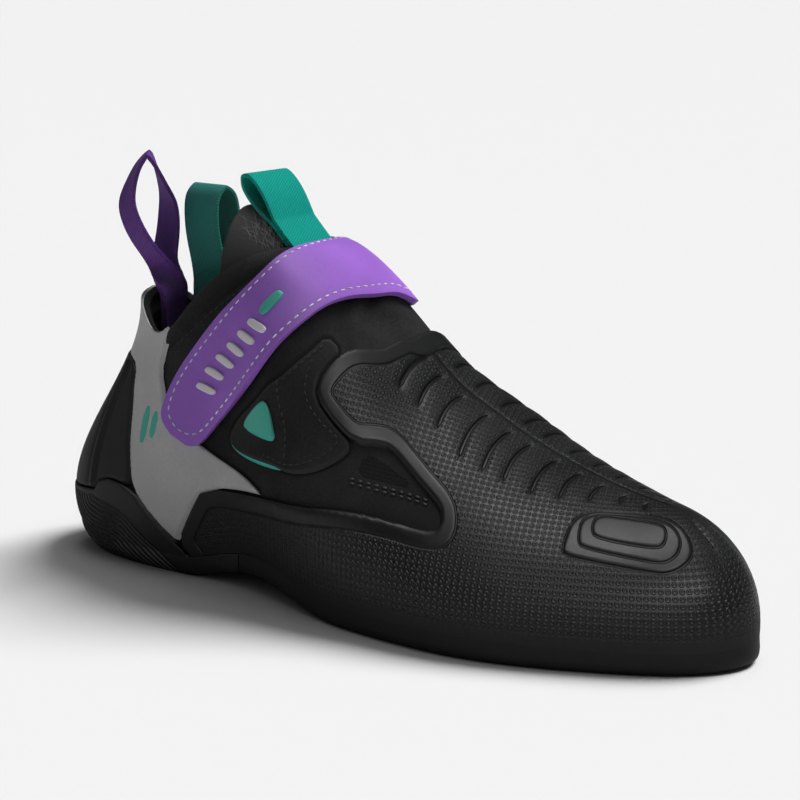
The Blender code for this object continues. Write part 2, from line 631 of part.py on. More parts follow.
tongue_curves = table_curves(TONGUE_COLUMNS, TONGUE_ROWS)
tongue_rows = np.linspace(0.0, len(TONGUE_ROWS) - 1.0, (len(TONGUE_ROWS) - 1) * TONGUE_STEPS + 1)
tongue_angles = np.radians(np.linspace(-84.0, 84.0, TONGUE_ARC_STEPS + 1))
tongue_sheets = []
for inset in (TONGUE_THICK, 0.0):
    sheet = np.zeros((len(tongue_rows), len(tongue_angles), 3))
    for i, row in enumerate(tongue_rows):
        arch = {name: float(curve(row)) for name, curve in tongue_curves.items()}
        half = arch["half"] - inset
        tall = arch["crown"] - arch["side"] - inset
        sheet[i, :, 0] = arch["along"]
        sheet[i, :, 1] = arch["middle"] + half * np.sin(tongue_angles)
        sheet[i, :, 2] = arch["side"] + tall * np.cos(tongue_angles)
    tongue_sheets.append(sheet)
tongue = band_solid("tongue", tongue_sheets)


# Webbing pull loops

def webbing_loop(name, rows, width, foot, upward, across):
    """Flat webbing folded into a loop that turns on its way up, its two ends sewn together at the foot."""
    foot = np.array(foot)
    upward = np.array(upward) / np.linalg.norm(upward)
    across = np.array(across) / np.linalg.norm(across)
    sideways = np.cross(upward, across)
    half_thick = WEBBING_THICK / 2.0
    curves = table_curves(LOOP_COLUMNS, rows)
    inner_start = [i for i, row in enumerate(rows) if row[2] > 0][0] - 1
    last = len(rows) - 1
    path = np.linspace(inner_start, last, 4 * (last - inner_start) + 1)
    row_of_height = np.linspace(0.0, last, 20 * last + 1)
    heights = curves["height"](row_of_height)

    def placed(spot, side):
        opening, height = spot
        row = np.interp(height, heights, row_of_height)
        lean = float(curves["lean"](row))
        angle = np.radians(float(curves["turn"](row)))
        turned_across = across * np.cos(angle) + sideways * np.sin(angle)
        turned_side = sideways * np.cos(angle) - across * np.sin(angle)
        return foot + across * lean + turned_across * opening + upward * height + turned_side * side

    left = []
    right = []
    for row in path:
        height = float(curves["height"](row))
        half = max(float(curves["half"](row)), 0.0)
        left.append((-half, height))
        right.append((half, height))
    inside = left[1:-1] + [left[-1]] + right[1:-1][::-1]
    centre = (np.mean([p[0] for p in inside]), np.mean([p[1] for p in inside]))
    outer_ring = []
    inner_ring = []
    size = len(inside)
    for k in range(size):
        before = np.array(inside[k - 1])
        after = np.array(inside[(k + 1) % size])
        run = after - before
        normal = np.array([-run[1], run[0]]) / max(np.linalg.norm(run), 1e-6)
        if np.dot(normal, np.array(inside[k]) - np.array(centre)) < 0:
            normal = -normal
        outer_ring.append(np.array(inside[k]) + normal * half_thick)
        inner_ring.append(np.array(inside[k]) - normal * half_thick)
    outline = [np.array([-WEBBING_THICK, 0.0])]
    outline += outer_ring
    outline += [np.array([WEBBING_THICK, 0.0])]
    verts = []
    faces = []
    for side in (-width / 2.0, width / 2.0):
        verts += [placed(spot, side) for spot in outline + inner_ring]
    rim = len(outline)
    whole = rim + size
    for k in range(rim):
        step = (k + 1) % rim
        faces.append([k, step, whole + step, whole + k])
    for k in range(size):
        step = (k + 1) % size
        faces.append([rim + k, whole + rim + k, whole + rim + step, rim + step])
    for base in (0, whole):
        for k in range(size - 1):
            faces.append([base + 1 + k, base + 2 + k, base + rim + k + 1, base + rim + k])
        faces.append([base, base + 1, base + rim, base + rim + size - 1, base + size, base + rim - 1])
    return add_object(name, verts, faces)


loops = [webbing_loop(*loop) for loop in LOOPS]

# Materials, and the shoe set over its own middle

parent = bpy.data.objects.new("climbing_shoe", None)
bpy.context.collection.objects.link(parent)
pieces = [upper, insole, outsole, heel_rubber, toe_cap, tension_band, heel_counter, side_flap, flap_badge]
pieces += [strap, tongue] + loops
corners = [Vector(corner) for piece in pieces for corner in piece.bound_box]
low = [min(corner[axis] for corner in corners) for axis in range(3)]
high = [max(corner[axis] for corner in corners) for axis in range(3)]
parent.location = (-(low[0] + high[0]) / 2.0, -(low[1] + high[1]) / 2.0, -low[2])
for piece in pieces:
    red, green, blue, roughness = LOOKS[piece.name]
    material = bpy.data.materials.new(piece.name)
    material.use_nodes = True
    shader = material.node_tree.nodes["Principled BSDF"]
    shader.inputs["Base Color"].default_value = (red, green, blue, 1.0)
    shader.inputs["Roughness"].default_value = roughness
    shader.inputs["Metallic"].default_value = 0.0
    piece.data.materials.clear()
    piece.data.materials.append(material)
    piece.parent = parent
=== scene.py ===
"""Looks of a climbing shoe: lasted upper, moulded rubber, one wide strap and webbing pull loops."""
import math

import bmesh
import bpy
import numpy as np
from mathutils import Matrix, Vector


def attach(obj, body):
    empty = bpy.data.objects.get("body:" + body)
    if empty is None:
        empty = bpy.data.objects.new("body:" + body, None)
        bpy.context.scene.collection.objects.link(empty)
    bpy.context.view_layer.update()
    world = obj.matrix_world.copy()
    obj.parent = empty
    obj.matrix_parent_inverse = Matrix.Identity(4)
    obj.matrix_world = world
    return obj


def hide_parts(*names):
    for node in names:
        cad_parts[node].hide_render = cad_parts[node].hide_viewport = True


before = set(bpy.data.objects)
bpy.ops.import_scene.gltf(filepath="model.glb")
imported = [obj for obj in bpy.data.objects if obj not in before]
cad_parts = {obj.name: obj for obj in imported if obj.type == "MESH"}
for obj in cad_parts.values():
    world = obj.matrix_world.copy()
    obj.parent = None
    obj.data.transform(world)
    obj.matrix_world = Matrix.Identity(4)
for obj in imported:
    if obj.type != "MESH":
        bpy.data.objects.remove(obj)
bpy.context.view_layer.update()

MM = 0.001
# Step over which directions on a surface are taken
SMALL = 1e-3
# Where the last's own zero lies in the row frame, in mm
LAST_TO_ROW = np.array([-124.466, 1.788, 0.0])

# Driving sizes of the shoe, in mm
LAST_LENGTH = 250.0
BALL_WIDTH = 80.0
INSTEP_HEIGHT = 105.0
SOLE_THICK = 6.3
SEAT_GAP = 0.3
UPPER_WALL = 2.2
CAP_LAYER = 2.1
HEEL_LAYER = 2.3
BAND_LAYER = 1.5
COUNTER_LAYER = 1.9
FLAP_LAYER = 1.6
BADGE_LAYER = 3.0
STRAP_THICK = 2.2
TONGUE_THICK = 2.4
WEBBING_THICK = 1.4
SOLE_EDGE = 2.4
EDGE_ROUND = 1.2
HEEL_ROUND = 4.6
BACK_LIFT = SOLE_THICK + SEAT_GAP

# The last, one row per section from heel to toe
LAST_COLUMNS = ("edge_x", "out_y", "in_y", "floor_z", "top_x", "gap_y", "top_z", "flare", "lean", "ridge",
                "low", "high_out", "high_in")
LAST_ROWS = (
    (2.0, 0.0, 0.0, 4.4, 11.8, 0.0, 81.4, 25, -3, 0.0, 0.33, 0.35, 0.35),
    (3.4, -15.0, 14.4, 2.9, 12.4, 6.5, 80.5, 25, -2, 0.0, 0.33, 0.35, 0.35),
    (8.2, -25.0, 24.4, 0.6, 14.4, 12.5, 76.2, 24, 2, 0.0, 0.34, 0.35, 0.35),
    (15.8, -28.8, 28.1, 0.0, 18.2, 17.0, 71.9, 23, 6, 0.0, 0.35, 0.35, 0.35),
    (24.0, -28.8, 27.5, 0.0, 22.8, 19.0, 81.4, 20, 10, 0.0, 0.35, 0.38, 0.35),
    (32.0, -28.1, 25.0, 4.4, 28.4, 18.0, 93.8, 20, 25, 0.0, 0.35, 0.40, 0.35),
    (40.4, -35.0, 27.5, 3.6, 35.2, 9.0, 100.0, 20, 48, 0.5, 0.35, 0.45, 0.40),
    (49.6, -45.0, 34.4, 0.2, 42.8, 0.0, 90.5, 14, 70, 1.0, 0.35, 0.50, 0.45),
    (59.2, -50.0, 42.5, 0.0, 52.0, 0.0, 69.8, 10, 90, 1.0, 0.35, 0.50, 0.50),
    (68.4, -50.6, 46.2, 0.0, 60.8, 0.0, 57.2, 8, 90, 1.0, 0.40, 0.50, 0.50),
    (77.2, -45.0, 45.6, 0.0, 69.6, 0.0, 47.0, 6, 90, 1.0, 0.45, 0.50, 0.50),
    (85.2, -35.6, 39.4, 0.0, 78.0, 0.0, 40.8, 6, 90, 1.0, 0.50, 0.50, 0.50),
    (91.6, -25.6, 27.5, 0.0, 84.0, 0.0, 38.4, 6, 90, 1.0, 0.52, 0.50, 0.50),
    (96.2, -13.8, 13.8, 0.4, 87.4, 0.0, 37.6, 5, 90, 1.0, 0.55, 0.50, 0.50),
    (98.2, 0.0, 0.0, 1.0, 88.6, 0.0, 36.7, 4, 90, 1.0, 0.55, 0.50, 0.50),
)
# Sideways place of the ridge: percent of the length, mm toward the inner side
RIDGE_LINE = ((0.0, 0.0), (12.0, 0.0), (18.0, 0.2), (24.0, 1.0), (35.2, 6.0), (42.8, 12.0), (52.0, 15.0),
              (60.8, 16.0), (69.6, 14.0), (78.0, 11.0), (88.6, 5.0))
TOE_ROW = len(LAST_ROWS) - 1
ROUND_TRIP = 2 * TOE_ROW
THROAT_ROW = 7
HEEL_PLATE_END = 5.04
FOREFOOT_START = 5.055

# Outlines of the outer side are read along a slanted line of sight, where it crosses the middle plane
SIGHT_X = 0.7002
SIGHT_Z = 0.3044

# Outlines in mm: (along, up), seen along the line of sight
CAP_EDGE_OUTER = ((137.0, 92.0), (134.6, 82.2), (126.5, 81.3), (121.0, 78.0), (117.1, 75.9), (109.4, 75.3),
                  (103.9, 73.2), (98.9, 68.7), (94.7, 63.1), (94.4, 57.4), (100.5, 51.0), (107.7, 46.0),
                  (117.9, 47.1), (121.6, 46.1), (126.8, 41.6), (132.8, 36.3), (137.8, 32.3), (139.5, 29.6),
                  (139.1, 25.6), (136.9, 23.6), (130.3, 23.3), (120.4, 24.3), (109.6, 24.7), (98.6, 24.2),
                  (88.0, 22.9), (73.9, 23.2), (50.0, 22.7), (44.8, 13.9), (39.8, 3.9), (46.6, -3.0),
                  (46.6, -20.0), (-80.0, -20.0), (-80.0, 170.0), (137.0, 170.0))
FLAP_OUTLINE = ((97.4, 77.0), (92.7, 72.2), (85.6, 66.3), (80.4, 61.6), (75.8, 58.6), (71.0, 52.6),
                (65.0, 47.1), (61.5, 41.4), (62.2, 37.9), (67.0, 36.1), (77.7, 34.6), (83.5, 33.1),
                (91.2, 34.5), (98.5, 37.8), (105.6, 42.6), (106.6, 45.4), (99.8, 50.4), (93.6, 57.0),
                (93.9, 63.4), (98.2, 69.2), (103.0, 73.6))
LINING_OUTLINE = ((60.8, 41.6), (60.5, 38.3), (63.2, 35.7), (69.8, 33.9), (78.0, 33.2), (81.0, 33.8),
                  (84.0, 40.0), (70.0, 46.0), (63.5, 44.0))
PAD_OUTLINE = ((186.8, 36.3), (181.3, 25.4), (182.7, 23.8), (211.0, 23.5), (218.2, 24.3), (225.0, 29.1),
               (225.5, 32.9), (222.8, 37.5), (216.1, 39.4), (202.9, 38.4))
PAD_MIDDLE = ((189.3, 35.6), (187.0, 28.3), (188.6, 26.9), (212.0, 26.3), (216.7, 27.1), (220.6, 29.9),
              (221.9, 34.0), (219.2, 37.3), (213.0, 37.9), (202.0, 37.3))
PAD_INNER = ((194.4, 36.0), (192.0, 32.3), (193.3, 30.0), (212.8, 30.2), (216.1, 31.6), (217.2, 35.1),
             (215.8, 36.6), (205.0, 36.4))
MESH_WINDOW = ((108.6, 36.2), (111.5, 42.2), (116.2, 42.8), (131.5, 34.8), (118.0, 35.2))
BADGE_OUTLINE = ((76.6, 54.6), (73.4, 53.0), (68.6, 47.2), (68.0, 45.0), (70.0, 44.0), (77.4, 42.4),
                 (79.2, 43.6), (78.6, 47.0))
# Seen straight from the side
CAP_EDGE_INNER = ((124.3, 130.0), (124.3, 76.0), (127.0, 62.0), (134.0, 50.0), (141.0, 42.0), (140.0, 36.0),
                  (128.0, 33.5), (100.0, 32.0), (69.0, 30.7), (63.7, 22.0), (57.8, 11.6), (64.2, 5.2),
                  (64.2, -4.0), (-20.0, -4.0), (-20.0, 130.0))
BAND_OUTLINE = ((50.5, 96.0), (49.3, 74.5), (47.9, 70.0), (47.2, 64.0), (50.0, 59.0), (52.5, 53.5),
                (68.0, 43.0), (92.0, 34.2), (92.0, 33.3), (68.5, 31.5), (63.1, 22.6), (57.1, 12.2),
                (56.5, 11.6), (48.2, 18.9), (40.2, 26.4), (38.4, 34.3), (36.9, 42.0), (36.1, 50.0),
                (34.5, 57.0), (34.1, 63.2), (29.0, 65.0), (20.0, 67.0), (-20.0, 69.0), (-20.0, 96.0))
COUNTER_OUTLINE = ((33.7, 62.6), (34.1, 57.0), (35.7, 50.0), (36.5, 42.0), (38.0, 34.3), (39.6, 26.6),
                   (25.4, 27.5), (20.8, 20.9), (-20.0, 20.6), (-20.0, 68.6), (20.0, 66.6), (28.8, 64.6))
HEEL_OUTLINE = ((-20.0, 20.2), (21.0, 20.4), (25.6, 27.0), (39.4, 26.1), (48.0, 18.4), (56.7, 10.8),
                (62.5, 5.0), (90.0, 5.0), (90.0, -20.0), (-20.0, -20.0))
# Lines on the heel, seen straight from the side
COUNTER_RIDGE = ((31.0, 66.0), (29.2, 60.4), (25.6, 52.2), (23.6, 44.4), (21.1, 32.5), (20.4, 20.0))
HEEL_BORDER = ((21.0, 19.6), (24.6, 19.0), (35.2, 17.0), (41.3, 11.8), (48.5, 6.6), (55.0, 1.5))
# The centre seam over the toes in plan: along, sideways
CENTRE_SEAM = ((124.0, 11.5), (130.1, 9.6), (144.3, 7.1), (162.8, 7.4), (178.8, 8.9), (192.7, 8.2),
               (205.8, 7.2), (216.0, 6.0))
# Slits beside the seam in plan: along at the seam, along at the outer end, sideways there
SLITS = ((131.7, 131.8, -11.0), (137.5, 138.4, -10.3), (145.6, 146.4, -12.0), (154.4, 156.8, -16.0),
         (162.7, 164.8, -15.9), (169.3, 171.4, -14.7), (178.3, 180.0, -13.3), (186.8, 187.6, -9.7),
         (195.5, 195.2, -5.8), (203.7, 203.3, -1.5), (211.5, 211.0, -0.7))

# The strap, one row per cut across it from the free end over the ridge to the inner side: place along the
# last and up the wall at its rear edge, the same at its front edge, and its stand off the upper in mm
STRAP_ROWS = (
    (3.86, 0.530, 4.09, 0.477, 1.8),
    (3.72, 0.590, 4.25, 0.464, 1.8),
    (3.70, 0.645, 4.42, 0.483, 1.8),
    (3.80, 0.710, 4.60, 0.511, 1.8),
    (4.02, 0.775, 4.84, 0.541, 1.8),
    (4.40, 0.825, 5.16, 0.572, 1.8),
    (4.85, 0.863, 5.56, 0.598, 1.8),
    (5.27, 0.880, 5.95, 0.632, 1.8),
    (5.61, 0.895, 6.34, 0.705, 1.8),
    (5.83, 0.922, 6.60, 0.768, 1.8),
    (5.96, 0.955, 6.85, 0.838, 1.3),
    (6.03, 0.990, 7.08, 0.915, 1.0),
    (6.01, 1.030, 7.20, 0.998, 0.8),
    (5.90, 1.070, 7.16, 1.085, 0.8),
    (5.68, 1.110, 6.97, 1.180, 0.9),
    (5.36, 1.143, 6.63, 1.285, 1.4),
    (5.00, 1.170, 6.12, 1.380, 1.2),
    (4.70, 1.200, 5.55, 1.440, 1.2),
)
STRAP_ARCH = 0.07

# Soft creases of the upper: (place, up) along each, depth and width in mm
CREASES = (
    (((6.95, 0.66), (6.80, 0.80), (6.72, 0.94)), 0.80, 2.0),
    (((7.25, 0.70), (7.12, 0.83), (7.05, 0.96)), 0.70, 1.8),
    (((6.35, 0.52), (6.60, 0.60), (6.90, 0.64)), 0.50, 1.8),
    (((3.30, 0.80), (3.80, 0.84), (4.40, 0.87)), 0.45, 1.6),
    (((3.20, 0.70), (3.55, 0.76), (3.90, 0.79)), 0.40, 1.8),
    (((21.20, 0.68), (21.35, 0.82), (21.30, 0.95)), 0.50, 2.2),
    (((22.60, 0.58), (23.10, 0.68), (23.80, 0.74)), 0.50, 2.4),
    (((23.40, 0.45), (24.00, 0.55), (24.60, 0.62)), 0.40, 2.4),
)

# The tongue, one row per arch from its free edge to its root, in mm
TONGUE_COLUMNS = ("along", "crown", "side", "half", "middle")
TONGUE_ROWS = (
    (66.0, 115.5, 92.0, 15.0, 1.2),
    (76.0, 110.0, 89.0, 13.8, 2.4),
    (88.0, 103.0, 85.0, 12.4, 4.3),
    (98.0, 97.2, 81.0, 11.0, 7.0),
    (108.0, 89.8, 76.0, 10.0, 9.5),
    (118.0, 80.8, 68.0, 9.5, 11.0),
)

# Pull loops, rows from the sewn end to the top: height, lean and half opening in mm, turn in degrees
LOOP_COLUMNS = ("height", "lean", "half", "turn")
HEEL_LOOP_ROWS = (
    (0.0, 0.0, 0.0, 0.0),
    (7.0, 0.0, 0.0, -2.0),
    (13.0, -0.5, 0.0, -20.0),
    (20.0, -4.4, 1.4, -80.0),
    (28.0, -7.4, 5.6, -98.0),
    (37.0, -9.6, 7.5, -108.0),
    (44.0, -10.2, 5.6, -124.0),
    (50.5, -10.0, 2.9, -136.0),
    (55.0, -9.3, 0.0, -145.0),
)
TONGUE_LOOP_ROWS = (
    (-6.0, 0.0, 0.0, 0.0),
    (5.0, 0.0, 0.0, 0.0),
    (12.0, 0.3, 1.6, 0.0),
    (18.0, 0.7, 2.9, 0.0),
    (23.5, 0.9, 3.0, 0.0),
    (27.0, 1.0, 2.0, 0.0),
    (28.6, 1.0, 0.0, 0.0),
)
SIDE_LOOP_ROWS = (
    (0.0, 0.0, 0.0, 0.0),
    (11.0, 0.0, 0.0, -6.0),
    (20.0, 0.3, 2.4, -25.0),
    (29.0, 0.6, 4.4, -31.0),
    (37.0, 0.8, 4.6, -31.0),
    (42.0, 0.8, 3.2, -31.0),
    (44.5, 0.8, 0.0, -31.0),
)
# CAD node, rows, width, foot of the loop, direction up it, direction across its opening at the foot
LOOPS = (
    ("heel_loop", HEEL_LOOP_ROWS, 10.0, (36.4, 0.0, 73.0), (0.0, 0.0, 1.0), (1.0, 0.0, 0.0)),
    ("tongue_loop", TONGUE_LOOP_ROWS, 16.0, (87.0, 3.8, 106.0), (-0.78, 0.20, 0.59), (0.572, -0.146, 0.805)),
    ("side_loop", SIDE_LOOP_ROWS, 15.0, (45.2, 11.6, 73.0), (-0.06, 0.0, 1.0), (-0.385, 0.923, 0.0)),
)

# Colours, linear red, green and blue
BLACK_RUBBER = (0.0080, 0.0082, 0.0084)
CAP_RUBBER = (0.0090, 0.0093, 0.0095)
BLACK_SUEDE = (0.0135, 0.0135, 0.0139)
# Paler suede for the painted highlight along the flap's cut edge
EDGE_HIGHLIGHT_SUEDE = (0.0300, 0.0300, 0.0310, 1.0)
BLACK_KNIT = (0.0280, 0.0276, 0.0280)
# Heel rubber a little lighter than the sole's black: painted sheen
HEEL_RUBBER = (0.0125, 0.0127, 0.0130)
COUNTER_BLACK = (0.0085, 0.0087, 0.0090)
GREY_RUBBER = (0.46, 0.46, 0.463)
STRAP_PURPLE = (0.305, 0.126, 0.560)
LOOP_PURPLE = (0.100, 0.034, 0.205)
TEAL = (0.000, 0.300, 0.245)
DULL_TEAL = (0.026, 0.200, 0.166)
BADGE_TEAL = (0.050, 0.400, 0.320)
PALE_THREAD = (0.70, 0.68, 0.74)
DARK_THREAD = (0.0065, 0.0065, 0.0070)
FIBRE_GREY = (0.13, 0.125, 0.125)
PALE_RUBBER = (0.66, 0.64, 0.68)
SHADE_BLACK = (0.0012, 0.0012, 0.0013, 1.0)
INSOLE_GREY = (0.02, 0.02, 0.021)
FLOOR_WHITE = (0.75, 0.75, 0.75)


# Smooth curves through table values

def closed_curve(values):
    """Smooth closed curve through values at 0, 1, 2 and so on, back to the first."""
    values = np.asarray(values, float)
    count = len(values)
    matrix = 4.0 * np.eye(count) + np.roll(np.eye(count), 1, 0) + np.roll(np.eye(count), -1, 0)
    bends = np.linalg.solve(matrix, 6.0 * (np.roll(values, -1) - 2.0 * values + np.roll(values, 1)))

    def curve(place):
        place = np.asarray(place, float) % count
        first = np.floor(place).astype(int) % count
        second = (first + 1) % count
        share = place - np.floor(place)
        rest = 1.0 - share
        straight = rest * values[first] + share * values[second]
        return straight + ((rest ** 3 - rest) * bends[first] + (share ** 3 - share) * bends[second]) / 6.0
    return curve


def open_curve(places, values):
    """Smooth open curve through (place, value) pairs."""
    places = np.asarray(places, float)
    values = np.asarray(values, float)
    count = len(places)
    steps = np.diff(places)
    matrix = np.eye(count)
    right = np.zeros(count)
    for i in range(1, count - 1):
        matrix[i, i - 1:i + 2] = steps[i - 1], 2.0 * (steps[i - 1] + steps[i]), steps[i]
        right[i] = 6.0 * ((values[i + 1] - values[i]) / steps[i] - (values[i] - values[i - 1]) / steps[i - 1])
    bends = np.linalg.solve(matrix, right)

    def curve(place):
        place = np.clip(np.asarray(place, float), places[0], places[-1])
        i = np.clip(np.searchsorted(places, place) - 1, 0, count - 2)
        rest = (places[i + 1] - place) / steps[i]
        share = (place - places[i]) / steps[i]
        curved = (rest ** 3 - rest) * bends[i] + (share ** 3 - share) * bends[i + 1]
        return rest * values[i] + share * values[i + 1] + curved * steps[i] ** 2 / 6.0
    return curve


def table_curves(columns, rows):
    """One smooth curve per column, by row number."""
    numbers = np.arange(len(rows))
    return {name: open_curve(numbers, [row[k] for row in rows]) for k, name in enumerate(columns)}


def soft_step(low, high, value):
    """0 below low, 1 above high, smooth between."""
    share = np.clip((np.asarray(value, float) - low) / (high - low), 0.0, 1.0)
    return share * share * (3.0 - 2.0 * share)


def path_length(points):
    """Length run at each point of a line."""
    return np.concatenate([[0.0], np.cumsum(np.linalg.norm(np.diff(points, axis=0), axis=-1))])


def columns_at(share, rows):
    """A table's columns at a share of the way through its rows, straight between them."""
    number = share * (len(rows) - 1)
    return [np.interp(number, np.arange(len(rows)), column) for column in zip(*rows)]


# The last as a surface: place runs round the shoe by row number, heel at 0, outer side first, toe at
# TOE_ROW, inner side back to the heel; up runs from the feather edge at 0 to the top line at 1

def last_curves():
    column = {name: np.array([row[k] for row in LAST_ROWS], float) for k, name in enumerate(LAST_COLUMNS)}
    column["edge_x"] *= LAST_LENGTH / 100.0
    column["top_x"] *= LAST_LENGTH / 100.0
    column["out_y"] *= BALL_WIDTH / 100.0
    column["in_y"] *= BALL_WIDTH / 100.0
    column["top_z"] *= INSTEP_HEIGHT / 100.0

    def both(outer, inner):
        return closed_curve(np.concatenate([column[outer], column[inner][-2:0:-1]]))

    shared = ("edge_x", "floor_z", "top_x", "gap_y", "top_z", "flare", "lean", "ridge", "low")
    curves = {name: both(name, name) for name in shared}
    curves["edge_y"] = both("out_y", "in_y")
    curves["high"] = both("high_out", "high_in")
    on_ridge = column["ridge"] > 0
    ridge_height = open_curve(column["top_x"][on_ridge], column["top_z"][on_ridge])
    ridge_along = [row[0] * LAST_LENGTH / 100.0 for row in RIDGE_LINE]
    ridge_side = open_curve(ridge_along, [row[1] for row in RIDGE_LINE])
    return curves, ridge_height, ridge_side


CURVES, RIDGE_HEIGHT, RIDGE_SIDE = last_curves()


def floor_height(place):
    return np.maximum(CURVES["floor_z"](place), 0.0)


def feather_edge(place):
    """Bottom edge of the upper's outside."""
    return np.stack([CURVES["edge_x"](place), CURVES["edge_y"](place), floor_height(place) + BACK_LIFT], -1)


def wall_point(place, up):
    """Point on the outside of the upper."""
    place, up = np.broadcast_arrays(np.asarray(place, float), np.asarray(up, float))
    value = {name: curve(place) for name, curve in CURVES.items()}
    turn = place % ROUND_TRIP
    side = np.where(turn < TOE_ROW, -1.0, 1.0)
    edge = feather_edge(place)
    open_above = (turn < THROAT_ROW) | (turn > ROUND_TRIP - THROAT_ROW)
    gap = np.where(open_above, np.maximum(value["gap_y"], 0.0), 0.0)
    top_y = RIDGE_SIDE(value["top_x"]) + side * gap
    top = np.stack([value["top_x"], top_y, value["top_z"]], -1)
    across = top[..., :2] - edge[..., :2]
    reach = np.linalg.norm(across, axis=-1)
    inward = across / np.maximum(reach, 1e-6)[..., None]
    rise = top[..., 2] - edge[..., 2]

    slope = (RIDGE_HEIGHT(value["top_x"] + 1.0) - RIDGE_HEIGHT(value["top_x"] - 1.0)) / 2.0
    flare = np.radians(value["flare"])
    lean = np.radians(value["lean"])
    on_ridge = np.clip(value["ridge"], 0.0, 1.0)[..., None]
    along_ridge = np.stack([np.ones_like(slope), slope * inward[..., 0]], -1)
    along_ridge /= np.linalg.norm(along_ridge, axis=-1)[..., None]
    along_wall = np.stack([np.sin(lean), np.cos(lean)], -1)
    top_run = along_ridge * on_ridge + along_wall * (1.0 - on_ridge)
    top_run /= np.linalg.norm(top_run, axis=-1)[..., None]
    top_pull = (np.abs(top_run[..., 0]) * reach + np.abs(top_run[..., 1]) * rise) * value["high"]

    last = np.stack([reach, rise], -1)
    second = np.stack([-np.sin(flare), np.cos(flare)], -1) * (rise * value["low"])[..., None]
    third = last - top_run * top_pull[..., None]
    share = up[..., None]
    rest = 1.0 - share
    bow = 3.0 * rest ** 2 * share * second + 3.0 * rest * share ** 2 * third + share ** 3 * last
    point = np.empty(place.shape + (3,))
    point[..., :2] = edge[..., :2] + inward * bow[..., :1]
    point[..., 2] = edge[..., 2] + bow[..., 1]
    return point


def wall_normal(place, up):
    """Outward direction of the upper's outside."""
    place, up = np.broadcast_arrays(np.asarray(place, float), np.asarray(up, float))
    up = np.clip(up, SMALL, 1.0 - 2.0 * SMALL)
    along = wall_point(place + SMALL, up) - wall_point(place - SMALL, up)
    rising = wall_point(place, up + SMALL) - wall_point(place, up - SMALL)
    normal = np.cross(along, rising)
    return normal / np.linalg.norm(normal, axis=-1)[..., None]


# Levels between which directions turn from level to the wall's own, and from there to the ridge's
EDGE_TURN = (-0.01, 0.06)
RIDGE_TURN = (0.85, 1.0)


def skin_normal(place, up):
    """Outward direction, level along the feather edge and shared by both sides on the ridge."""
    place, up = np.broadcast_arrays(np.asarray(place, float), np.asarray(up, float))
    normal = wall_normal(place, up)
    normal[..., 2] *= soft_step(*EDGE_TURN, up)
    turn = place % ROUND_TRIP
    on_ridge = (turn >= THROAT_ROW) & (turn <= ROUND_TRIP - THROAT_ROW) & (up > RIDGE_TURN[0])
    if on_ridge.any():
        own = normal[on_ridge]
        there = wall_normal(place[on_ridge], 1.0) + wall_normal(ROUND_TRIP - place[on_ridge], 1.0)
        there[..., 1] *= 0.5
        there /= np.linalg.norm(there, axis=-1)[..., None]
        share = soft_step(*RIDGE_TURN, up[on_ridge])[..., None]
        normal[on_ridge] = own * (1.0 - share) + there * share
    return normal / np.linalg.norm(normal, axis=-1)[..., None]


def skin(place, up, height):
    """Point at a height over the upper's outside."""
    return wall_point(place, up) + skin_normal(place, up) * np.asarray(height, float)[..., None]


# Lengths on the surface in mm, for patterns that follow it

LENGTH_PLACES = np.linspace(-ROUND_TRIP / 2.0, 1.5 * ROUND_TRIP, 1121)
LENGTH_UPS = np.linspace(0.0, 1.0, 61)
# How far up the wall lengths along the shoe are measured
LENGTH_LEVEL = 0.3


def length_tables():
    along = path_length(wall_point(LENGTH_PLACES, LENGTH_LEVEL))
    place, up = np.meshgrid(LENGTH_PLACES, LENGTH_UPS, indexing="ij")
    wall = wall_point(place, up)
    rising = np.cumsum(np.linalg.norm(np.diff(wall, axis=1), axis=-1), axis=1)
    rising = np.concatenate([np.zeros((len(LENGTH_PLACES), 1)), rising], axis=1)
    return along, rising


LENGTH_ALONG, LENGTH_RISING = length_tables()


def along_length(place):
    return np.interp(place, LENGTH_PLACES, LENGTH_ALONG)


def rising_length(place, up):
    i = (np.asarray(place) - LENGTH_PLACES[0]) / (LENGTH_PLACES[1] - LENGTH_PLACES[0])
    j = np.clip(up, 0.0, 1.0) * (len(LENGTH_UPS) - 1)
    i0 = np.clip(np.floor(i).astype(int), 0, len(LENGTH_PLACES) - 2)
    j0 = np.clip(np.floor(j).astype(int), 0, len(LENGTH_UPS) - 2)
    a = i - i0
    b = j - j0
    table = LENGTH_RISING
    lower = table[i0, j0] * (1.0 - a) + table[i0 + 1, j0] * a
    upper = table[i0, j0 + 1] * (1.0 - a) + table[i0 + 1, j0 + 1] * a
    return lower * (1.0 - b) + upper * b


def stations(first, last, step):
    """Places between two rows, evenly spaced in mm."""
    start, end = along_length(first), along_length(last)
    count = max(int(round((end - start) / step)), 1)
    return np.interp(np.linspace(start, end, count + 1), LENGTH_ALONG, LENGTH_PLACES)


def all_round(outer):
    """Places on the outer side, then the same places on the inner side on the way back."""
    return np.concatenate([outer, (ROUND_TRIP - outer)[::-1][1:]])


# Distances to outlines

def seen(point):
    """Along and up as read along the line of sight."""
    return np.stack([point[..., 0] + SIGHT_X * point[..., 1], point[..., 2] + SIGHT_Z * point[..., 1]], -1)


def from_side(point):
    return np.stack([point[..., 0], point[..., 2]], -1)


def rounded(outline, closed=True, rounds=2):
    """The outline with its corners cut, once for each round."""
    line = np.asarray(outline, float)
    for _ in range(rounds):
        following = np.roll(line, -1, 0) if closed else line[1:]
        start = line if closed else line[:-1]
        cut = np.empty((2 * len(start), 2))
        cut[0::2] = 0.75 * start + 0.25 * following
        cut[1::2] = 0.25 * start + 0.75 * following
        line = cut if closed else np.concatenate([line[:1], cut, line[-1:]])
    return line


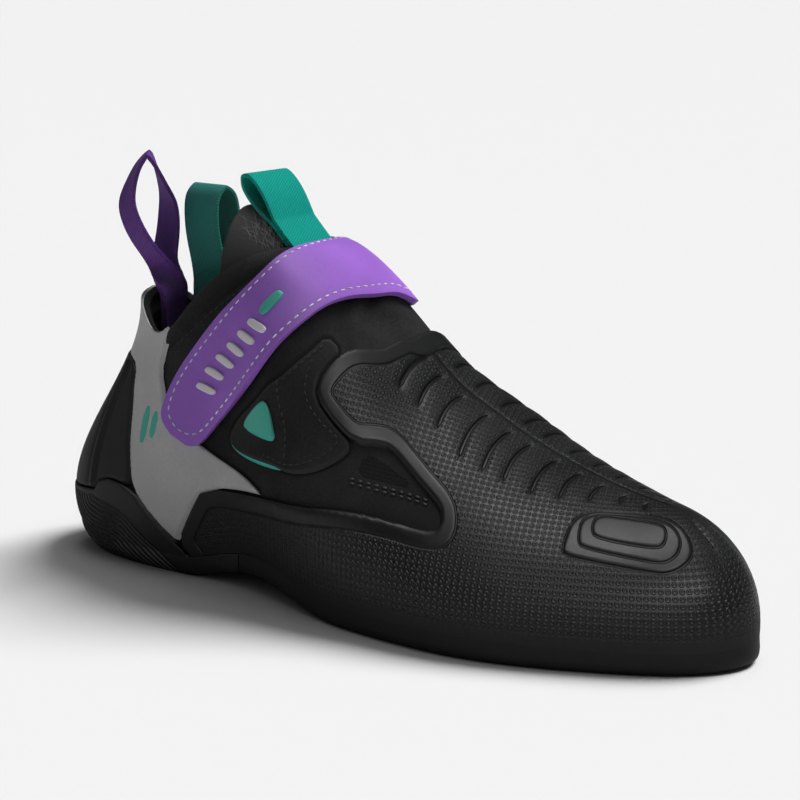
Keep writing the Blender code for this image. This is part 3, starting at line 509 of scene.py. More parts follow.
def line_distance(points, line, closed=False):
    """Distance in mm from points to a line of corners."""
    line = np.asarray(line, float)
    start = line if closed else line[:-1]
    end = np.roll(line, -1, 0) if closed else line[1:]
    run = end - start
    best = np.full(len(points), np.inf)
    for a, d in zip(start, run):
        rel = points - a
        share = np.clip(rel @ d / max(d @ d, 1e-9), 0.0, 1.0)
        best = np.minimum(best, np.linalg.norm(rel - share[:, None] * d, axis=-1))
    return best


def outline_depth(points, outline):
    """Distance in mm to a closed outline, positive inside it."""
    outline = np.asarray(outline, float)
    inside = np.zeros(len(points), bool)
    for a, b in zip(outline, np.roll(outline, -1, 0)):
        crosses = (a[1] > points[:, 1]) != (b[1] > points[:, 1])
        rise = b[1] - a[1]
        level = (points[:, 1] - a[1]) / (rise if abs(rise) > 1e-9 else 1e-9)
        inside ^= crosses & (points[:, 0] < a[0] + level * (b[0] - a[0]))
    distance = line_distance(points, outline, closed=True)
    return np.where(inside, distance, -distance)


def edge_profile(depth, low, high, radius):
    """Height of a layer with a rounded edge."""
    share = 1.0 - np.clip(depth / radius, 0.0, 1.0)
    return low + (high - low) * np.sqrt(np.maximum(1.0 - share ** 2, 0.0))


# Meshes

# Vertices nearer than this, in m, are one
SAME_SPOT = 2e-6
# Corners of a cut nearer than this, in m, are merged
SLIVER = 0.15 * MM
# Least depth of a vertex in mm, so that no vertex lies on the cut
OFF_CUT = 1e-4
# Drop of a layer's top toward its rim, in mm
RIM_ROUND = 0.4
RIM_SEGMENTS = 3
RIM_ANGLE = math.radians(50.0)


def row_frame(points):
    return (np.asarray(points) + LAST_TO_ROW) * MM


def mesh_of(shape, name):
    """The mesh of a bmesh, which is freed."""
    mesh = bpy.data.meshes.new(name)
    shape.to_mesh(mesh)
    shape.free()
    return mesh


def wall_patch(places, ups, depth=None):
    """Grid over the wall in (place, up), cut along the line where depth is zero."""
    shape = bmesh.new()
    wide = len(places) - 1
    tall = len(ups) - 1
    bmesh.ops.create_grid(shape, x_segments=wide, y_segments=tall, size=0.5)
    for vert in shape.verts:
        i = int(round((vert.co.x + 0.5) * wide))
        j = int(round((vert.co.y + 0.5) * tall))
        vert.co = (places[i], ups[j], 0.0)
    if depth is None:
        return shape
    spots = np.array([vert.co[:2] for vert in shape.verts])
    values = depth(spots[:, 0], spots[:, 1])
    values[np.abs(values) < OFF_CUT] = OFF_CUT
    value = dict(zip(shape.verts, values))
    added = []
    for edge in list(shape.edges):
        start, end = edge.verts
        if value[start] * value[end] < 0.0:
            share = value[start] / (value[start] - value[end])
            vert = bmesh.utils.edge_split(edge, start, share)[1]
            added.append(vert)
    for vert in added:
        value[vert] = 0.0
    bmesh.ops.connect_verts(shape, verts=added)
    outside = []
    for face in shape.faces:
        if sum(value[vert] for vert in face.verts) < 0.0:
            outside.append(face)
    bmesh.ops.delete(shape, geom=outside, context="FACES")
    return shape


def fold_edge(shape, depth_mm, skip_below):
    """Folds the open edge in above a height, so that the sheet shows a thickness."""
    rim = [edge for edge in shape.edges if edge.is_boundary and max(v.co.z for v in edge.verts) > skip_below]
    made = bmesh.ops.extrude_edge_only(shape, edges=rim)["geom"]
    for item in made:
        if isinstance(item, bmesh.types.BMVert):
            item.co -= item.normal * depth_mm * MM


def finish_piece(name, mesh, material, slot, nodes=()):
    """Adds a mesh to the shoe, as what stands for the CAD nodes named."""
    piece = bpy.data.objects.new(name, mesh)
    bpy.context.scene.collection.objects.link(piece)
    mesh.materials.clear()
    mesh.materials.append(material)
    mesh.polygons.foreach_set("use_smooth", np.ones(len(mesh.polygons), bool))
    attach(piece, "root")
    if nodes:
        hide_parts(*nodes)
    return piece


def shaped_mesh(name, shape, surface, fields=None, merge=SAME_SPOT, fold=0.0, skip_below=-1.0):
    """Moves a (place, up) grid onto its surface, with a UV map in mm and the named fields on its vertices."""
    mesh = mesh_of(shape, name)
    spots = np.zeros(len(mesh.vertices) * 3)
    mesh.vertices.foreach_get("co", spots)
    spots = spots.reshape(-1, 3)
    place, up = spots[:, 0], spots[:, 1]
    points = surface(place, up)
    mesh.vertices.foreach_set("co", row_frame(points).ravel())
    corner = np.zeros(len(mesh.loops), int)
    mesh.loops.foreach_get("vertex_index", corner)
    layer = mesh.uv_layers.new(name="surface_mm")
    flat = np.stack([along_length(place), rising_length(place, up)], -1)[corner]
    layer.data.foreach_set("uv", flat.ravel())
    for field, values in (fields(place, up) if fields else {}).items():
        attribute = mesh.attributes.new(field, "FLOAT", "POINT")
        attribute.data.foreach_set("value", np.asarray(values, float))
    mesh.update()
    again = bmesh.new()
    again.from_mesh(mesh)
    bmesh.ops.remove_doubles(again, verts=again.verts, dist=merge)
    if fold:
        again.normal_update()
        fold_edge(again, fold, skip_below)
    again.to_mesh(mesh)
    again.free()
    return mesh


def grid_mesh(name, rows, columns, surface, size):
    """Grid of rows by columns on a surface of two shares, with a UV map of the size given in mm."""
    shape = bmesh.new()
    bmesh.ops.create_grid(shape, x_segments=rows, y_segments=columns, size=0.5)
    shape.verts.ensure_lookup_table()
    shares = np.array([vert.co[:2] for vert in shape.verts]) + 0.5
    points = row_frame(surface(shares[:, 0], shares[:, 1]))
    layer = shape.loops.layers.uv.new("surface_mm")
    for face in shape.faces:
        for loop in face.loops:
            first, second = shares[loop.vert.index]
            loop[layer].uv = (first * size[0], second * size[1])
    for vert, point in zip(shape.verts, points):
        vert.co = point
    bmesh.ops.remove_doubles(shape, verts=shape.verts, dist=SAME_SPOT)
    return mesh_of(shape, name)


def thicken(piece, thickness, round_width, offset=-1.0):
    """Gives a sheet its thickness and rounds the edges of its rim."""
    solid = piece.modifiers.new("thickness", "SOLIDIFY")
    solid.thickness = thickness * MM
    solid.offset = offset
    solid.use_even_offset = False
    rim = piece.modifiers.new("rounded_rim", "BEVEL")
    rim.width = round_width * MM
    rim.segments = RIM_SEGMENTS
    rim.limit_method = "ANGLE"
    rim.angle_limit = RIM_ANGLE
    rim.harden_normals = False


# Shader helpers

FLOAT = "NodeSocketFloat"
VECTOR = "NodeSocketVector"


def make(tree, kind, settings=None, inputs=None):
    """A node with its settings, and its inputs set or linked."""
    node = tree.nodes.new(kind)
    for key, value in (settings or {}).items():
        setattr(node, key, value)
    for key, value in (inputs or {}).items():
        if isinstance(value, bpy.types.NodeSocket):
            tree.links.new(value, node.inputs[key])
        else:
            node.inputs[key].default_value = value
    return node


def calc(tree, operation, first, second=0.0, third=None):
    """Output of a Math node with its operation and inputs."""
    inputs = {0: first, 1: second}
    if third is not None:
        inputs[2] = third
    return make(tree, "ShaderNodeMath", {"operation": operation}, inputs).outputs[0]


def ramp(tree, value, low, high, to_low=0.0, to_high=1.0):
    """Value carried smoothly from one range to another."""
    settings = {"interpolation_type": "SMOOTHSTEP"}
    inputs = {"Value": value, "From Min": low, "From Max": high, "To Min": to_low, "To Max": to_high}
    return make(tree, "ShaderNodeMapRange", settings, inputs).outputs[0]


def start_group(name, inputs, outputs):
    """A shader node group with named sockets."""
    tree = bpy.data.node_groups.new(name, "ShaderNodeTree")
    for socket, kind in inputs:
        tree.interface.new_socket(name=socket, in_out="INPUT", socket_type=kind)
    for socket in outputs:
        tree.interface.new_socket(name=socket, in_out="OUTPUT", socket_type=FLOAT)
    return tree, tree.nodes.new("NodeGroupInput"), tree.nodes.new("NodeGroupOutput")


# Pattern sizes in mm
DOT_PITCH = 2.0
DOT_HEIGHT = 0.25
RIB_PITCH = 1.7
RIB_HEIGHT = 0.16
BORDER_WIDTH = 5.0
BORDER_RISE = 0.3
SLIT_HALF_WIDTH = 0.64
GROOVE_BUMP = 0.55
COLLAR_SEAM = 6.8
COLLAR_PAD = 1.2
WINDOW_PITCH = 1.25
KNIT_PITCH = 0.8
KNIT_BUMP = 0.30
YARN_PITCH = 0.95
YARN_BUMP = 0.14
# Steps of the pad: field, outline, rise over the step before, and the depths between which it rises
PAD_STEPS = (
    ("pad_mm", PAD_OUTLINE, 0.5, -0.4, 0.3),
    ("pad_middle_mm", PAD_MIDDLE, 0.35, -0.35, 0.25),
    ("pad_inner_mm", PAD_INNER, 0.35, -0.35, 0.25),
)


def grain_group():
    """Fine grain and slow unevenness on Object coordinates."""
    tree, given, out = start_group("grain", [("Fineness", FLOAT), ("Patchiness", FLOAT)], ["Height", "Tone"])
    spot = make(tree, "ShaderNodeTexCoord").outputs["Object"]
    fine = make(tree, "ShaderNodeTexNoise", None,
                {"Vector": spot, "Scale": given.outputs["Fineness"], "Detail": 3.0, "Roughness": 0.6})
    slow = make(tree, "ShaderNodeTexNoise", None,
                {"Vector": spot, "Scale": given.outputs["Patchiness"], "Detail": 2.0})
    tree.links.new(fine.outputs["Fac"], out.inputs["Height"])
    patches = calc(tree, "MULTIPLY", slow.outputs["Fac"], 0.65)
    tree.links.new(calc(tree, "MULTIPLY_ADD", fine.outputs["Fac"], 0.35, patches), out.inputs["Tone"])
    return tree


def ring_dots_group():
    """Rows of small rings with a dimple, on a map in mm."""
    tree, given, out = start_group("ring_dots", [("Map", VECTOR), ("Pitch", FLOAT)], ["Height"])
    parts = make(tree, "ShaderNodeSeparateXYZ", None, {"Vector": given.outputs["Map"]})
    squares = []
    for axis in ("X", "Y"):
        turns = calc(tree, "DIVIDE", parts.outputs[axis], given.outputs["Pitch"])
        centred = calc(tree, "SUBTRACT", calc(tree, "FRACT", turns), 0.5)
        squares.append(calc(tree, "MULTIPLY", centred, centred))
    radius = calc(tree, "SQRT", calc(tree, "ADD", squares[0], squares[1]))
    disc = ramp(tree, radius, 0.30, 0.46, 1.0, 0.0)
    dimple = ramp(tree, radius, 0.06, 0.26, 0.75, 0.0)
    tree.links.new(calc(tree, "SUBTRACT", disc, dimple), out.inputs["Height"])
    return tree


def weave_group():
    """Slanted yarns of a webbing, on a map in mm."""
    tree, given, out = start_group("weave", [("Map", VECTOR), ("Pitch", FLOAT), ("Slant", FLOAT)], ["Height"])
    parts = make(tree, "ShaderNodeSeparateXYZ", None, {"Vector": given.outputs["Map"]})
    across = calc(tree, "MULTIPLY_ADD", parts.outputs["Y"], given.outputs["Slant"], parts.outputs["X"])
    turn = calc(tree, "MULTIPLY", calc(tree, "DIVIDE", across, given.outputs["Pitch"]), 2.0 * math.pi)
    other = calc(tree, "DIVIDE", parts.outputs["Y"], given.outputs["Pitch"])
    other = calc(tree, "MULTIPLY", other, 2.0 * math.pi)
    wave = calc(tree, "SINE", turn)
    yarn = calc(tree, "MULTIPLY_ADD", calc(tree, "SINE", other), 0.5, wave)
    tree.links.new(calc(tree, "MULTIPLY_ADD", yarn, 0.33, 0.5), out.inputs["Height"])
    return tree


# How far the grain darkens and lightens a colour, and how many slow patches it has in a metre
EVEN_SPREAD = (0.8, 1.25)
PATCHINESS = 45.0
# Grain of rubber and suede: grains in a metre, depth in mm and spread
RUBBER_GRAIN = (900.0, 0.03, EVEN_SPREAD)
SUEDE_GRAIN = (1300.0, 0.07, (0.45, 1.7))

GRAIN = grain_group()
RING_DOTS = ring_dots_group()
WEAVE = weave_group()


def place_group(tree, group, inputs):
    return make(tree, "ShaderNodeGroup", {"node_tree": group}, inputs)


def start_material(name, roughness, specular):
    material = bpy.data.materials.new(name)
    material.use_nodes = True
    tree = material.node_tree
    shader = tree.nodes["Principled BSDF"]
    shader.inputs["Roughness"].default_value = roughness
    shader.inputs["Specular IOR Level"].default_value = specular
    return material, tree, shader


def source_of(shader, name):
    """The socket that feeds one of the shader's inputs."""
    return shader.inputs[name].links[0].from_socket


def mixed_color(tree, share, first, second):
    """The first colour where the share is 0, the second where it is 1."""
    mix = make(tree, "ShaderNodeMix", {"data_type": "RGBA"}, {"Factor": share, 6: first, 7: second})
    return mix.outputs[2]


def tinted(tree, color, tone, low, high):
    """The colour made darker and lighter by a tone from 0 to 1."""
    dark = [c * low for c in color] + [1.0]
    light = [min(c * high, 1.0) for c in color] + [1.0]
    return mixed_color(tree, tone, dark, light)


def bump(tree, height, depth_mm, before=None):
    inputs = {"Height": height, "Strength": 1.0, "Distance": depth_mm * MM}
    if before is not None:
        inputs["Normal"] = before
    return make(tree, "ShaderNodeBump", None, inputs).outputs["Normal"]


def field(tree, name):
    return make(tree, "ShaderNodeAttribute", {"attribute_name": name}).outputs["Fac"]


def surface_map(tree):
    return make(tree, "ShaderNodeUVMap", {"uv_map": "surface_mm"}).outputs["UV"]


def grained_material(name, color, roughness, specular, fineness, depth_mm, spread):
    """Material with a fine grain in its height, colour and gloss."""
    material, tree, shader = start_material(name, roughness, specular)
    grain = place_group(tree, GRAIN, {"Fineness": fineness, "Patchiness": PATCHINESS})
    shade = ramp(tree, grain.outputs["Tone"], 0.36, 0.64)
    tree.links.new(tinted(tree, color, shade, *spread), shader.inputs["Base Color"])
    gloss = ramp(tree, grain.outputs["Tone"], 0.25, 0.75, roughness - 0.06, roughness + 0.08)
    tree.links.new(gloss, shader.inputs["Roughness"])
    normal = bump(tree, grain.outputs["Height"], depth_mm)
    tree.links.new(normal, shader.inputs["Normal"])
    return material, tree, shader, normal


def line_mask(tree, distance, half_width, soft=0.22):
    """1 on a line of a half width in mm, 0 beside it."""
    return ramp(tree, calc(tree, "ABSOLUTE", distance), half_width - soft, half_width + soft, 1.0, 0.0)


def strongest(tree, masks):
    result = masks[0]
    for mask in masks[1:]:
        result = calc(tree, "MAXIMUM", result, mask)
    return result


def darkened(tree, color, mask):
    """The colour darkened toward near black where the mask is 1, as painted shade."""
    return mixed_color(tree, mask, color, SHADE_BLACK)


def cap_material():
    """Moulded rubber with rings where the field dots is 1, slits, a seam and grooves at border and pad."""
    material, tree, shader, normal = grained_material("dotted_rubber", CAP_RUBBER, 0.42, 0.24, *RUBBER_GRAIN)
    dots = place_group(tree, RING_DOTS, {"Map": surface_map(tree), "Pitch": DOT_PITCH})
    raised = calc(tree, "MULTIPLY", dots.outputs["Height"], field(tree, "dots"))
    normal = bump(tree, raised, DOT_HEIGHT, normal)

    turns = calc(tree, "FRACT", calc(tree, "ADD", field(tree, "slit_turn"), 0.5))
    slit_mm = calc(tree, "MULTIPLY", calc(tree, "SUBTRACT", turns, 0.5), field(tree, "slit_gap"))
    taper = ramp(tree, field(tree, "slit_in"), -0.8, 2.6, 0.0, SLIT_HALF_WIDTH)
    narrowed = calc(tree, "SUBTRACT", calc(tree, "ABSOLUTE", slit_mm), taper)
    slits = ramp(tree, narrowed, -0.34, 0.02, 1.0, 0.0)
    covered = ramp(tree, field(tree, "edge_mm"), BORDER_WIDTH - 0.4, BORDER_WIDTH + 0.6)
    seam = calc(tree, "MULTIPLY", line_mask(tree, field(tree, "seam_mm"), 0.36), covered)
    grooves = [calc(tree, "MULTIPLY", slits, covered), seam]
    border = calc(tree, "SUBTRACT", field(tree, "edge_mm"), BORDER_WIDTH + 0.35)
    grooves.append(calc(tree, "MULTIPLY", line_mask(tree, border, 0.32), 0.85))
    for name, *_ in PAD_STEPS:
        foot = calc(tree, "ADD", field(tree, name), 0.45)
        grooves.append(calc(tree, "MULTIPLY", line_mask(tree, foot, 0.30), 0.8))
    cut = strongest(tree, grooves)
    normal = bump(tree, calc(tree, "SUBTRACT", 1.0, cut), GROOVE_BUMP, normal)
    tree.links.new(normal, shader.inputs["Normal"])
    # Painted shade: where the field sheen is low, near the sole and at the rear, the colour is darkened as
    # well as the gloss dulled
    dull_and_shaded = calc(tree, "SUBTRACT", 1.0, field(tree, "sheen"))
    painted_low_shade = darkened(tree, source_of(shader, "Base Color"), calc(tree, "MULTIPLY", dull_and_shaded, 0.55))
    # Painted shade in the slits, the seam, the border groove and the pad's steps
    tree.links.new(darkened(tree, painted_low_shade, cut), shader.inputs["Base Color"])
    gloss = calc(tree, "MULTIPLY_ADD", dull_and_shaded, 0.25, source_of(shader, "Roughness"))
    tree.links.new(gloss, shader.inputs["Roughness"])
    return material


def ribbed_material():
    """Heel rubber with fine ribs below its border line, and a groove along that line."""
    material, tree, shader, normal = grained_material("ribbed_rubber", HEEL_RUBBER, 0.55, 0.18, *RUBBER_GRAIN)
    turn = calc(tree, "MULTIPLY", field(tree, "rib_mm"), 2.0 * math.pi / RIB_PITCH)
    wave = calc(tree, "MULTIPLY", calc(tree, "SINE", turn), field(tree, "ribbed"))
    groove = line_mask(tree, calc(tree, "ADD", field(tree, "rib_mm"), 0.5), 0.45)
    relief = calc(tree, "MULTIPLY_ADD", groove, -1.6, wave)
    tree.links.new(bump(tree, relief, RIB_HEIGHT, normal), shader.inputs["Normal"])
    # Painted shade along the border groove
    tree.links.new(darkened(tree, source_of(shader, "Base Color"), groove), shader.inputs["Base Color"])
    return material


def webbing_material(name, color):
    material, tree, shader = start_material(name, 0.70, 0.12)
    weave = place_group(tree, WEAVE, {"Map": surface_map(tree), "Pitch": YARN_PITCH, "Slant": 0.8})
    grain = place_group(tree, GRAIN, {"Fineness": 1500.0, "Patchiness": 60.0})
    flecks = calc(tree, "MULTIPLY", grain.outputs["Tone"], 0.4)
    shade = calc(tree, "MULTIPLY_ADD", weave.outputs["Height"], 0.6, flecks)
    tree.links.new(tinted(tree, color, shade, 0.62, 1.35), shader.inputs["Base Color"])
    tree.links.new(bump(tree, weave.outputs["Height"], YARN_BUMP), shader.inputs["Normal"])
    return material


def upper_material():
    """Matt suede, a knit strip along the collar and an open mesh in the side window."""
    material, tree, shader, normal = grained_material("black_suede", BLACK_SUEDE, 0.82, 0.14, *SUEDE_GRAIN)
    holes = place_group(tree, RING_DOTS, {"Map": surface_map(tree), "Pitch": WINDOW_PITCH})
    in_window = ramp(tree, field(tree, "mesh_depth"), -0.2, 0.2)
    mesh_zone = calc(tree, "MULTIPLY", holes.outputs["Height"], in_window)
    knit = place_group(tree, WEAVE, {"Map": surface_map(tree), "Pitch": KNIT_PITCH, "Slant": 0.0})
    on_collar = ramp(tree, field(tree, "collar_mm"), COLLAR_SEAM + 0.3, COLLAR_SEAM - 0.3)
    knit_zone = calc(tree, "MULTIPLY", knit.outputs["Height"], on_collar)
    relief = calc(tree, "MULTIPLY_ADD", knit_zone, 0.3, mesh_zone)
    tree.links.new(bump(tree, relief, KNIT_BUMP, normal), shader.inputs["Normal"])
    # Painted shadow in a line just outside the flap's edge, and painted shade inside the side window's mesh
    flap_edge_shadow = line_mask(tree, calc(tree, "ADD", field(tree, "flap_mm"), 0.7), 0.7, 0.6)
    shadows = [calc(tree, "MULTIPLY", flap_edge_shadow, 0.9),
               ramp(tree, field(tree, "mesh_depth"), -0.3, 0.3, 0.0, 0.7)]
    color = darkened(tree, source_of(shader, "Base Color"), strongest(tree, shadows))
    tree.links.new(color, shader.inputs["Base Color"])
    return material


def flap_material():
    """Suede with a painted highlight, paler along the flap's cut edge."""
    material, tree, shader, _ = grained_material("flap_suede", BLACK_SUEDE, 0.80, 0.14, *SUEDE_GRAIN)
    edge_highlight = ramp(tree, field(tree, "edge_mm"), 0.25, 1.0, 1.0, 0.0)
    color = mixed_color(tree, edge_highlight, source_of(shader, "Base Color"), EDGE_HIGHLIGHT_SUEDE)
    tree.links.new(color, shader.inputs["Base Color"])
    return material


# Plain finishes: name, colour, roughness, specular level, then the grains in a metre, their depth in mm and
# their spread
PLAIN_FINISHES = {
    "sole": ("black_rubber", BLACK_RUBBER, 0.58, 0.16, *RUBBER_GRAIN),
    "band": ("grey_rubber", GREY_RUBBER, 0.60, 0.18, 1100.0, 0.02, (0.92, 1.08)),
    "counter": ("heel_cover_black", COUNTER_BLACK, 0.60, 0.16, 1300.0, 0.04, EVEN_SPREAD),
    "badge": ("badge_teal", BADGE_TEAL, 0.45, 0.24, 1500.0, 0.01, (0.95, 1.05)),
    "lining": ("lining_teal", BADGE_TEAL, 0.60, 0.30, 1500.0, 0.02, (0.9, 1.1)),
    "strap": ("purple_synthetic", STRAP_PURPLE, 0.52, 0.18, 1300.0, 0.03, (0.93, 1.06)),
    "tongue": ("tongue_knit", BLACK_KNIT, 0.62, 0.16, 1200.0, 0.04, EVEN_SPREAD),
    "insole": ("insole_felt", INSOLE_GREY, 0.9, 0.1, 1200.0, 0.08, EVEN_SPREAD),
    "pale_thread": ("pale_thread", PALE_THREAD, 0.7, 0.2, 2500.0, 0.02, EVEN_SPREAD),
    "dark_thread": ("dark_thread", DARK_THREAD, 0.55, 0.35, 2500.0, 0.02, EVEN_SPREAD),
    "fibre": ("pale_fibre", FIBRE_GREY, 0.6, 0.3, 2500.0, 0.01, EVEN_SPREAD),
    "pale_rubber": ("pale_rubber", PALE_RUBBER, 0.5, 0.35, 1500.0, 0.01, (0.95, 1.05)),
}
MATERIAL = {use: grained_material(*finish)[0] for use, finish in PLAIN_FINISHES.items()}
MATERIAL.update({
    "upper": upper_material(),
    "cap": cap_material(),
    "heel": ribbed_material(),
    "flap": flap_material(),
    "heel_loop": webbing_material("purple_webbing", LOOP_PURPLE),
    "tongue_loop": webbing_material("teal_webbing", TEAL),
    "side_loop": webbing_material("dull_teal_webbing", DULL_TEAL),
})


# Upper

# Spacing of the grid along the upper in mm, and its count of levels
UPPER_SPACING = 1.4
UPPER_LEVELS = 71
# Row where the collar's knit strip ends, and the values of the fields where they don't apply
COLLAR_END = 6.4
NO_COLLAR = 50.0
FAR_OUTSIDE = -20.0
# Groove under the collar's strip: depth and width in mm
COLLAR_GROOVE = (0.5, 0.7)
# Low ridge beside a crease: share of its depth, and distance in widths
CREASE_RIDGE = (0.4, 1.9)


def upper_fields(place, up):
    spots = seen(wall_point(place, up))
    outer = (place % ROUND_TRIP) < TOE_ROW
    window = np.where(outer, outline_depth(spots, rounded(MESH_WINDOW, rounds=1)), FAR_OUTSIDE)
    collar = rising_length(place, np.ones_like(place)) - rising_length(place, up)
    turn = place % ROUND_TRIP
    near_ridge = (turn > COLLAR_END) & (turn < ROUND_TRIP - COLLAR_END)
    flap = np.where(outer, outline_depth(spots, rounded(FLAP_OUTLINE, rounds=1)), FAR_OUTSIDE)
    return {"mesh_depth": window, "collar_mm": np.where(near_ridge, NO_COLLAR, collar), "flap_mm": flap}


def crease_relief(place, up):
    """Soft troughs with a low ridge beside each."""
    spots = wall_point(place, up)
    relief = np.zeros(len(spots))
    ridge_share, ridge_away = CREASE_RIDGE
    for corners, deep, wide in CREASES:
        rows = np.linspace(0.0, len(corners) - 1.0, 9)
        curves = table_curves(("place", "up"), corners)
        away = line_distance(spots, wall_point(curves["place"](rows), curves["up"](rows)))
        ridge = ridge_share * np.exp(-((away - ridge_away * wide) / wide) ** 2)
        relief += deep * (ridge - np.exp(-(away / wide) ** 2))
    return relief


def upper_surface(place, up):
    collar = upper_fields(place, up)["collar_mm"]
    groove_depth, groove_width = COLLAR_GROOVE
    seam = -groove_depth * np.exp(-((collar - COLLAR_SEAM) / groove_width) ** 2)
    padded = 1.0 - ((collar - 0.5 * COLLAR_SEAM) / (0.5 * COLLAR_SEAM)) ** 2
    binding = COLLAR_PAD * np.sqrt(np.maximum(padded, 0.0))
    return skin(place, up, seam + binding + crease_relief(place, up))


upper_places = all_round(stations(0.0, TOE_ROW, UPPER_SPACING))
upper_shape = wall_patch(upper_places, np.linspace(0.0, 1.0, UPPER_LEVELS))
upper_mesh = shaped_mesh("lasted_upper", upper_shape, upper_surface, upper_fields)
upper = finish_piece("lasted_upper", upper_mesh, MATERIAL["upper"], "upper", ["upper"])
thicken(upper, UPPER_WALL, round_width=0.7)

# Toe cap with its rand

CAP_CUT_OUTER = rounded(CAP_EDGE_OUTER, rounds=1)
CAP_CUT_INNER = rounded(CAP_EDGE_INNER, rounds=1)
# Heights over the upper at which outlines are cut, in mm
CAP_CUT_HEIGHT = 1.5
OVERLAY_CUT_HEIGHT = 1.0
# Sideways range in mm over which the outer outline gives way to the inner one
SIDE_CHANGE = (0.5, 6.5)
# Ranges in mm over which the dots start above the sole, and the sheen starts above it and along the shoe
DOTS_RISE = (2.0, 5.5)
# Below the sheen's two ranges the colour is darkened too, as painted shade
SHEEN_AND_SHADE_RISE = (0.5, 13.0)
SHEEN_AND_SHADE_ALONG = (70.0, 135.0)
# Radius of the rounded edges in mm
CAP_EDGE_RADIUS = 0.8
HEEL_EDGE_RADIUS = 1.0


def cap_depth(place, up):
    point = skin(place, up, CAP_CUT_HEIGHT)
    outer = -outline_depth(seen(point), CAP_CUT_OUTER)
    inner = -outline_depth(from_side(point), CAP_CUT_INNER)
    share = soft_step(*SIDE_CHANGE, point[:, 1])
    return outer * (1.0 - share) + inner * share


SEAM_CURVE = rounded(CENTRE_SEAM, closed=False)
# Where slits start beside the seam, and how far they bow, in mm
SLIT_START = 3.2
SLIT_BOW = 1.5
# Depth and width of the grooves of slits and seam, and the swell between slits, in mm
SLIT_DEPTH = 0.40
SLIT_WIDTH = 0.75
SEAM_DEPTH = 0.25
SEAM_WIDTH = 0.7
SLIT_SWELL = 0.12
# Spacing counted past the first and last slit in mm, and how far past them the slits' zone runs
SLIT_END_GAP = 8.0
SLIT_END = 0.45
# Values in mm outside that zone: depth inside the slits' length, distance to a slit
OUT_OF_SLITS = -5.0
FAR_FROM_SLITS = 9.0
# Depth inside the slits' length where their grooves start, in mm
SLIT_FADE = -0.6
SLIT_NUMBERS = np.arange(len(SLITS))
# Sideways limit of the pad's side, and its depth beyond, in mm
PAD_LIMIT = 8.0
PAD_FAR_OUTSIDE = -30.0


def seam_fields(point):
    """Signed distance in plan to the centre seam, and the place among the slits beside it: the number of the
    slit, the spacing there and how far inside the slits' length."""
    along = point[:, 0]
    seam = point[:, 1] - np.interp(along, SEAM_CURVE[:, 0], SEAM_CURVE[:, 1])
    side = np.abs(seam)
    starts = np.array([row[0] for row in SLITS])
    reach = np.interp(starts, SEAM_CURVE[:, 0], SEAM_CURVE[:, 1]) - np.array([row[2] for row in SLITS])
    lines = []
    for (start, end, _), length in zip(SLITS, reach):
        share = np.clip(side / length, 0.0, 1.0)
        lines.append(start + (end - start) * share - SLIT_BOW * np.sin(np.pi * share))
    before_first = np.minimum((along - lines[0]) / SLIT_END_GAP, 0.0)
    after_last = np.maximum((along - lines[-1]) / SLIT_END_GAP, 0.0)
    number = before_first + after_last
    for before, after in zip(lines, lines[1:]):
        number = number + np.clip((along - before) / (after - before), 0.0, 1.0)
    gap = np.interp(number, SLIT_NUMBERS[:-1] + 0.5, np.diff(starts))
    inside = np.minimum(side - SLIT_START, np.interp(number, SLIT_NUMBERS, reach) - side)
    beyond = (number < -SLIT_END) | (number > SLIT_NUMBERS[-1] + SLIT_END)
    past_end = np.maximum(along - SEAM_CURVE[-1, 0], 0.0)
    return {"seam_mm": np.sign(seam) * np.hypot(seam, past_end), "slit_turn": number, "slit_gap": gap,
            "slit_in": np.where(beyond, OUT_OF_SLITS, inside)}


def pad_depths(place, up):
    """Depth inside the pad's three outlines, far outside on the inner side."""
    point = skin(place, up, CAP_LAYER)
    outer = point[:, 1] < PAD_LIMIT
    depths = {}
    for name, outline, *_ in PAD_STEPS:
        depths[name] = np.where(outer, outline_depth(seen(point), rounded(outline)), PAD_FAR_OUTSIDE)
    return depths


def slit_distance(value):
    """Distance in mm to the nearest slit's line."""
    number = value["slit_turn"]
    return np.abs(number - np.round(number)) * value["slit_gap"]


def cap_fields(place, up):
    value = {"edge_mm": cap_depth(place, up)}
    value.update(pad_depths(place, up))
    value.update(seam_fields(skin(place, up, CAP_LAYER)))
    from_slit = np.where(value["slit_in"] > SLIT_FADE, slit_distance(value), FAR_FROM_SLITS)
    off_border = soft_step(BORDER_WIDTH + 0.6, BORDER_WIDTH + 1.6, value["edge_mm"])
    dots = off_border * soft_step(-0.4, -1.4, value["pad_mm"])
    dots *= soft_step(0.7, 1.5, from_slit) * soft_step(0.7, 1.6, np.abs(value["seam_mm"]))
    rise = rising_length(place, up)
    value["dots"] = dots * soft_step(*DOTS_RISE, rise)
    # The sheen field also sets painted shade, darker near the sole and at the rear
    value["sheen"] = soft_step(*SHEEN_AND_SHADE_RISE, rise) * soft_step(*SHEEN_AND_SHADE_ALONG, wall_point(place, up)[:, 0])
    return value


